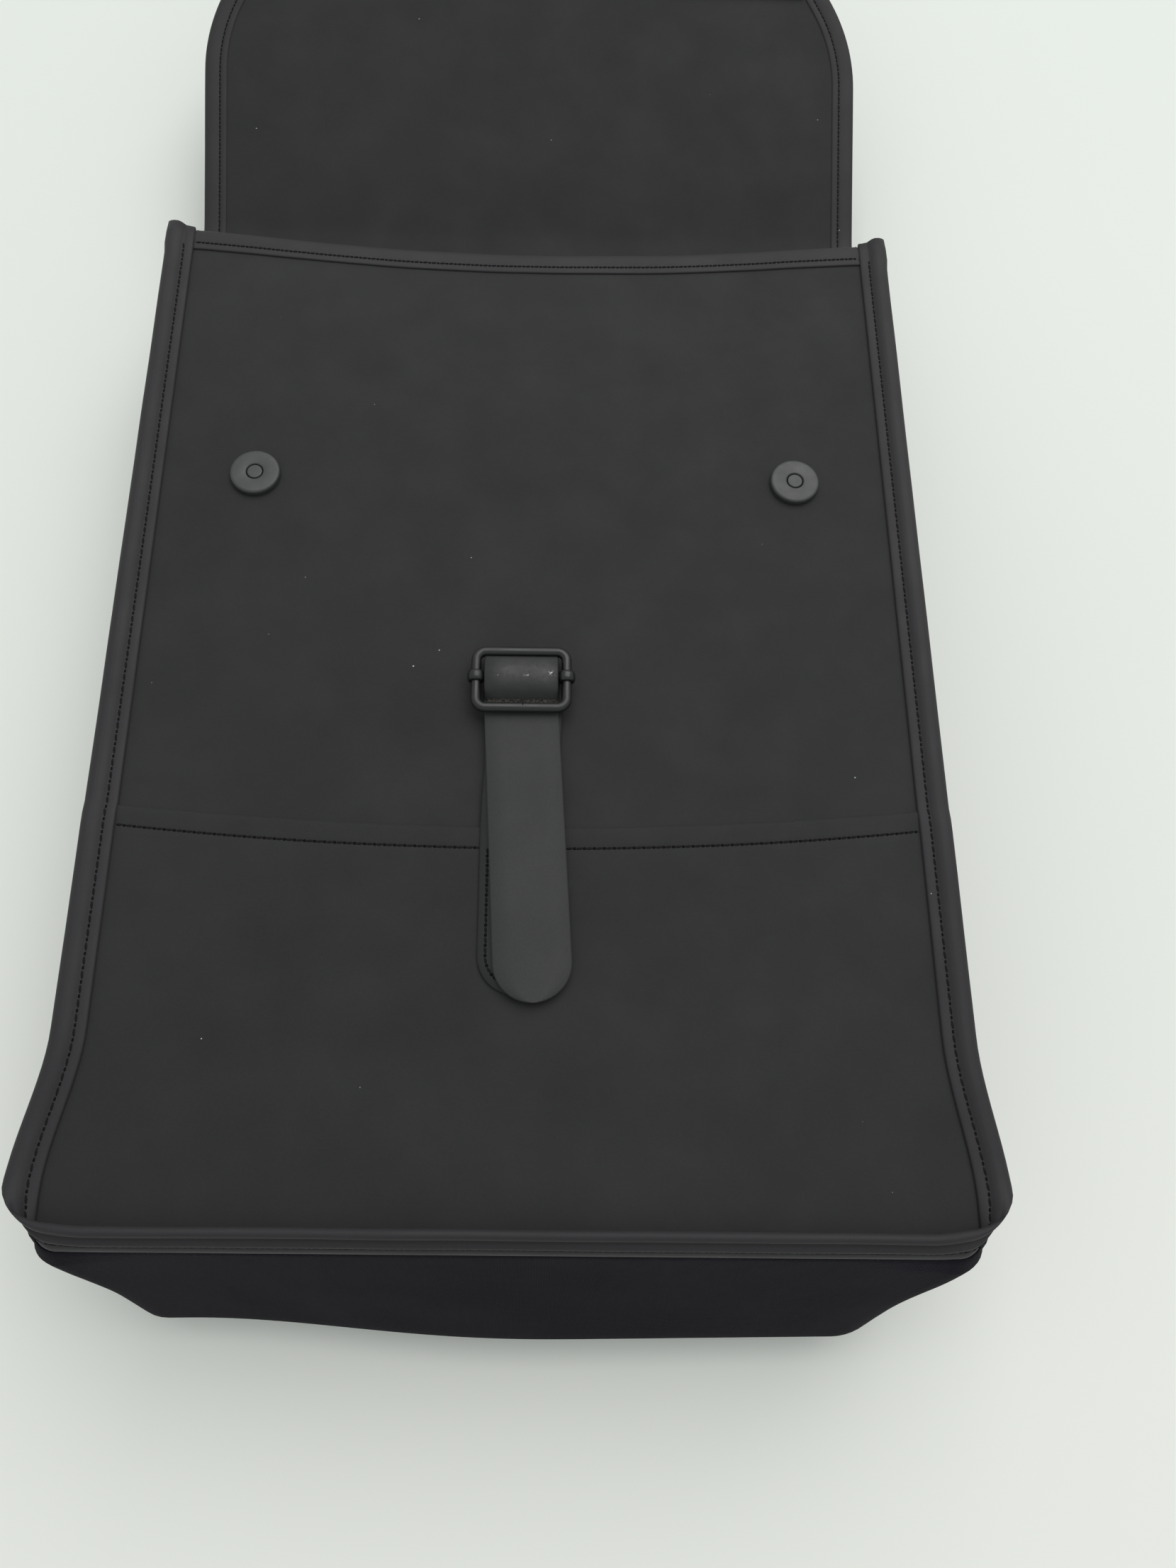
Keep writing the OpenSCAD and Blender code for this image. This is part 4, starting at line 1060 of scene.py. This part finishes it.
def frontSnaps():
    for name, node in (("left", "front_snap_left"), ("right", "front_snap_right")):
        low, high = nodeBox(node)
        centre = (low + high) / 2 - frontUp * snap["height"] / 2
        r, h, hole, core = (snap[k] for k in ("radius", "height", "hole", "core"))
        profile = [(0.01, -snap["sink"]), (r - 0.6, -snap["sink"]), (r - 0.1, -0.2), (r, 0.5), (r, h - 0.75),
                   (r - 0.18, h - 0.32), (r - 0.55, h - 0.08), (r - 1.1, h), (r - 3.0, h - 0.02),
                   (hole + 0.5, h), (hole + 0.12, h - 0.1), (hole, h - 0.4), (hole, h - 1.5), (0.01, h - 1.5)]
        disc = turned("snap_disc_" + name, profile, centre, frontUp, snapPaint, 72)
        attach(disc, "root")
        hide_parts(node)
        profile = [(0.01, h - 1.6), (core, h - 1.6), (core, h - 0.28), (core - 0.12, h - 0.14),
                   (core - 0.3, h - 0.1), (core - 0.8, h - 0.09), (0.01, h - 0.08)]
        plug = turned("snap_core_" + name, profile, centre, frontUp, snapPaint, 48)
        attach(plug, "root")
        if name == "left":
            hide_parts("snap_magnets")


def flapSnaps():
    up = flapUp(lidPlace)
    profile = [(0.01, -0.3), (8.0, -0.3), (8.2, 0.1), (8.2, 0.75), (7.9, 1.08), (7.4, 1.2), (3.3, 1.2),
               (3.05, 1.1), (3.0, 0.4), (0.01, 0.4)]
    for name, node in (("left", "flap_snap_left"), ("right", "flap_snap_right")):
        low, high = nodeBox(node)
        centre = (low + high) / 2 - up * 1.3
        cap = turned("flap_snap_cap_" + name, profile, centre, up, snapPaint, 64)
        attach(cap, "flap_front")
        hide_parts(node)


frontSnaps()
flapSnaps()
print("snaps made")

wireLow, wireHigh = nodeBox("buckle_frame")
baseLow = nodeBox("strap_base")[0]
buckleY = (wireLow.y + wireHigh.y) / 2
buckleX = (wireLow.x + wireHigh.x) / 2
buckleHalf = (wireHigh.y - wireLow.y) / 2 / math.cos(slope)
strapPivot, tailPivot = jointPlace["strap_lift"], jointPlace["tail_lift"]
strap = {"width": 25.0, "thick": 1.3, "wire": 1.7, "wireUp": 6.1, "baseUp": 1.55, "baseShift": -0.4,
         "riserShift": 1.6, "tailTurn": 3.0, "tipHalf": 0.6, "stitchIn": 2.6, "stitchUp": 2.2}
wireY = buckleY - buckleHalf + strap["wire"]


# Stations over the front plane from (y, lift, x) places: the ribbon stays level across
def plateStations(places, halves, side=sideX, facing=1):
    spots = [onFront(x, y, lift, sagging=False) for y, lift, x in places]
    result = []
    for spot, ahead, half in zip(spots, headings(spots), halves):
        across = (side - ahead * side.dot(ahead)).normalized()
        result.append((spot, across, across.cross(ahead).normalized() * facing, half))
    return result


# Smooth curve through given places
def throughPlaces(places, per=6):
    points = [Vector(p) for p in places]
    result = []
    for i in range(len(points) - 1):
        a, b = points[max(i - 1, 0)], points[i]
        c, d = points[i + 1], points[min(i + 2, len(points) - 1)]
        for k in range(per):
            t = k / per
            result.append(0.5 * ((2 * b) + (c - a) * t + (2 * a - 5 * b + 4 * c - d) * t * t
                                 + (3 * b - a - 3 * c + d) * t * t * t))
    return result + [points[-1]]


# Round end of a strap: (length, half width) from its tip, denser near the tip
def roundEnd(radius, steps=14):
    ends = [radius * (1 - math.cos(math.pi / 2 * i / steps)) for i in range(steps + 1)]
    return [(d, max(strap["tipHalf"], math.sqrt(max(0.0, radius ** 2 - (radius - d) ** 2)))) for d in ends]


def closingStrap():
    half = strap["width"] / 2
    endY, holdY = baseLow.y + 0.1, strapPivot.y
    splitY, joinY = wireY - 0.8, wireY + 1.2
    baseX, shift = buckleX + strap["baseShift"], strap["riserShift"]
    places, halves = [], []
    for d, wide in roundEnd(half):
        places.append((endY + d, strap["baseUp"], baseX))
        halves.append(wide)
    for y in spread(endY + half + 2, holdY - 2, 16):
        places.append((y, strap["baseUp"], baseX))
        halves.append(half)
    for y in spread(holdY + 1, splitY, 22):
        t = (y - holdY) / (splitY - holdY)
        places.append((y, mix(1.6, 2.0, smooth(t * 3)), baseX + shift * smooth(t)))
        halves.append(half)
    lower = ribbon("strap_lower", plateStations(places, halves), strap["thick"], strapCloth)
    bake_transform(lower)
    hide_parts("strap_base")

    up, r = strap["wireUp"], strap["wire"]
    topY = buckleY + buckleHalf - 2 * r - 1.15
    loop = [(splitY, 2.0, shift), (wireY + 3.0, 2.15, 0.75 * shift), (buckleY, 2.7, 0.375 * shift),
            (buckleY + 3.4, 3.4, 0.125 * shift), (topY - 1.3, up - 1.6, 0), (topY - 0.1, up - 0.55, 0),
            (topY - 0.2, up + 0.6, 0), (topY - 2.0, up + 1.45, 0), (buckleY + 2.6, up + 2.15, 0),
            (buckleY - 0.6, up + 2.1, 0), (wireY + 6.4, up + 1.1, 0), (wireY + 4.3, up - 0.6, 0),
            (wireY + 2.6, up - 1.95, 0), (joinY - 0.3, up - 2.5, 0), (joinY - 0.9, up - 2.6, 0)]
    places = [(p.x, p.y, buckleX + p.z) for p in throughPlaces(loop)]
    ring = ribbon("strap_loop", plateStations(places, [half] * len(places)), strap["thick"], loopCloth)
    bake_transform(ring)
    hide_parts("strap_riser")

    turn = math.radians(strap["tailTurn"])
    length = joinY - (nodeBox("strap_tail")[0].y + 0.1)
    places, halves = [], []
    for s in spread(0, length - half - 2, 40):
        places.append(tailPlace(joinY, s, turn))
        halves.append(half)
    for d, wide in reversed(roundEnd(half)):
        places.append(tailPlace(joinY, length - d, turn))
        halves.append(wide)
    across = Matrix.Rotation(turn, 3, "Z") @ sideX
    tail = ribbon("strap_tail_end", plateStations(places, halves, across, -1), strap["thick"], tailCloth)
    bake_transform(tail)
    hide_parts("strap_tail")

    edge = half - strap["stitchIn"]
    line = [(baseX - edge, y) for y in spread(holdY - 3, endY + half, 14)]
    line += arc(baseX, endY + half, edge, 180, 360, 16)
    line += [(baseX + edge, y) for y in spread(endY + half, holdY - 3, 14)]
    path = [(onFront(x, y, strap["stitchUp"], sagging=False), frontUp) for x, y in line]
    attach(stitchRow("strap_base_stitches", path, 3.3, 0.95), "root")


# (y, lift, x) of the tail's middle line at a length from where it leaves the wire
def tailPlace(startY, s, turn):
    lift = mix(3.5, 3.55, smooth(s / 20)) + 0.5 * smooth((s - 20) / 50) - 0.35 * smooth((s - 70) / 25)
    return (startY - s * math.cos(turn), lift, buckleX + s * math.sin(turn))


def sliderBar():
    r = strap["wire"]
    centre = onFront(buckleX, buckleY + 0.5, strap["wireUp"], sagging=False)
    sideHalf = (wireHigh.x - wireLow.x) / 2 - r
    barRadius, reach = 1.35, sideHalf - r
    profile = [(0.01, -reach), (barRadius, -reach), (barRadius, reach), (0.01, reach)]
    bar = turned("slider_bar_rod", profile, centre, (1, 0, 0), wirePaint, 32)
    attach(bar, "strap")
    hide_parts("slider_bar")
    outer = r + 1.25
    profile = [(r + 0.08, -1.75), (r + 0.6, -1.9), (outer - 0.25, -1.55), (outer, -0.8), (outer, 0.8),
               (outer - 0.25, 1.55), (r + 0.6, 1.9), (r + 0.08, 1.75), (r + 0.06, 0), (r + 0.08, -1.75)]
    for name, sign in (("left", -1), ("right", 1)):
        spot = centre + sideX * sign * sideHalf
        collar = turned("slider_collar_" + name, profile, spot, -frontDown, wirePaint, 40)
        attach(collar, "strap")
    # Thin near-black disc across the wire at its butt joint: painted shade of the gap
    spot = onFront(buckleX + 0.6, wireY, strap["wireUp"], sagging=False)
    profile = [(0.2, -0.13), (r + 0.03, -0.13), (r + 0.03, 0.13), (0.2, 0.13)]
    gapShade = turned("wire_joint_shade", profile, spot, (1, 0, 0), needleHoleShade, 32)
    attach(gapShade, "buckle")


closingStrap()
sliderBar()
print("strap and buckle made")

# Finish and softened edge of each piece that stays as the frame gives it
softening = {"angle": 35, "segments": 2, "weld": 1e-6}
kept = {
    "back_board": (boardLining, 0.0),
    "front_snap_washers": (zincSteel, 0.1), "flap_snap_washers": (zincSteel, 0.1),
    "buckle_frame": (wirePaint, 0.0), "hook_eye": (wirePaint, 0.35), "snap_hook": (wirePaint, 0.45),
    "snap_gate": (gateSteel, 0.25), "gate_pin": (zincSteel, 0.1), "gate_spring": (zincSteel, 0.05),
    "hook_rail": (anodised, 0.3), "rail_screws": (zincSteel, 0.2), "rail_nuts": (zincSteel, 0.2),
    "rail_cap_left": (hookPlastic, 0.5), "rail_cap_right": (hookPlastic, 0.5),
    "rack_hook_left": (hookPlastic, 0.5), "rack_hook_right": (hookPlastic, 0.5),
    "hook_insert_left": (liningRubber, 0.15), "hook_insert_right": (liningRubber, 0.15),
    "hook_latch_left": (hookPlastic, 0.4), "hook_latch_right": (hookPlastic, 0.4),
    "latch_pin_left": (zincSteel, 0.15), "latch_pin_right": (zincSteel, 0.15),
    "latch_spring_left": (zincSteel, 0.1), "latch_spring_right": (zincSteel, 0.1),
    "hook_screw_left": (zincSteel, 0.2), "hook_screw_right": (zincSteel, 0.2),
    "anchor_plate": (hookPlastic, 0.5), "anchor_screws": (zincSteel, 0.2), "anchor_nuts": (zincSteel, 0.2),
    "anchor_arm": (hookPlastic, 0.6), "anchor_bolt": (zincSteel, 0.3), "anchor_pad": (liningRubber, 0.3),
    "handle_brackets": (wirePaint, 0.3), "handle_rivets": (zincSteel, 0.2),
}


def finishNodes():
    for name, (material, bevel) in kept.items():
        obj = frame["nodes"][name]
        if not obj.material_slots:
            obj.data.materials.append(material)
        for slot in obj.material_slots:
            slot.material = material
        if bevel:
            weld = obj.modifiers.new("join", "WELD")
            weld.merge_threshold = softening["weld"]
            soften = obj.modifiers.new("soften", "BEVEL")
            soften.width = bevel * mm
            soften.segments = softening["segments"]
            soften.limit_method = "ANGLE"
            soften.angle_limit = math.radians(softening["angle"])
            soften.harden_normals = False


finishNodes()
print("metal and plastic pieces finished")

lidUp = flapUp(lidPlace)
lidAlong = Vector((0, lidUp.z, -lidUp.y))
outerStrap = {"from": 84.0, "eye": 156.5, "eyeDrop": 4.2, "loop": 2.2, "back": 20.0}


# Point of the lid: across, along from the fold, and off its middle towards the inner face
def onLid(x, v, b):
    return fold + lidAlong * v + lidUp * b + sideX * x


def flapStrap():
    eye, drop, loop = outerStrap["eye"], outerStrap["eyeDrop"], outerStrap["loop"]
    line = [(outerStrap["from"], -1.35), (outerStrap["from"] + 3, -1.55), (outerStrap["from"] + 30, -1.6),
            (eye - 26, -1.75), (eye - 16, -2.1), (eye - 6, -2.1)]
    line += arc(eye, -drop, loop, 90, -90, 12)
    line += [(eye - 5, -5.0), (eye - 9, -3.9), (eye - 13, -3.5), (eye - 15 - outerStrap["back"], -3.3)]
    spots = [onLid(0, v, b) for v, b in line]
    half = strap["width"] / 2
    band = [(p, sideX, sideX.cross(ahead).normalized(), half) for p, ahead in zip(spots, headings(spots))]
    obj = ribbon("flap_strap_outer", band, strap["thick"], strapCloth)
    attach(obj, "flap_front")
    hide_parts("flap_strap")
    v0, v1, w = outerStrap["from"] + 3, outerStrap["from"] + 36, 10.0
    corners = [(-w, v0), (w, v0), (w, v1), (-w, v1), (-w, v0)]
    path, under = [], -2.26
    for (xa, va), (xb, vb) in zip(corners, corners[1:]):
        path += [(onLid(mix(xa, xb, f), mix(va, vb, f), under), -lidUp) for f in spread(0, 1, 6)]
    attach(stitchRow("flap_strap_stitches", path, 3.2, 0.9), "flap_front")


handle = {"half": 52.0, "width": 20.0, "thick": 2.6, "corner": 11.0, "sleeve": 3.4, "stitchAt": 7.6}


def carryHandle():
    pivot = jointPlace["handle_swing"]
    crossY = nodeBox("carry_handle")[0].y + handle["width"] / 2
    r, half = handle["corner"], handle["half"]
    places = [(-half, y) for y in spread(pivot.y - 1.0, crossY + r, 6)]
    places += arc(-half + r, crossY + r, r, 180, 270, 12)[1:]
    places += [(x, crossY) for x in spread(-half + r, half - r, 14)[1:-1]]
    places += arc(half - r, crossY + r, r, 270, 360, 12)
    places += [(half, y) for y in spread(crossY + r, pivot.y - 1.0, 6)[1:]]
    spots = [Vector((x, y, pivot.z)) for x, y in places]
    up = Vector((0, 0, 1))
    line, outer, inner = [], [], []
    for spot, ahead in zip(spots, headings(spots)):
        across = ahead.cross(up)
        line.append((spot, across, up, handle["width"] / 2))
        for path, reach in ((outer, handle["stitchAt"]), (inner, -handle["stitchAt"])):
            path.append((spot + across * reach - up * (handle["thick"] / 2 - 0.1), -up))
    obj = ribbon("handle_webbing", line, handle["thick"], webbing, 0.8)
    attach(obj, "carry_handle")
    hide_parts("carry_handle")
    s, w, bore = handle["sleeve"], handle["width"] / 2, 2.1
    profile = [(bore, -w), (s - 0.3, -w), (s, -w + 0.4), (s, w - 0.4), (s - 0.3, w), (bore, w), (bore, -w)]
    for name, sign in (("left", -1), ("right", 1)):
        spot = (sign * half, pivot.y, pivot.z)
        sleeve = turned("handle_sleeve_" + name, profile, spot, (1, 0, 0), webbing, 40)
        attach(sleeve, "carry_handle")
    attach(stitchRow("handle_stitches_outer", outer, 3.6, 0.9), "carry_handle")
    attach(stitchRow("handle_stitches_inner", inner, 3.6, 0.9), "carry_handle")


flapStrap()
carryHandle()
print("flap strap and handle made")
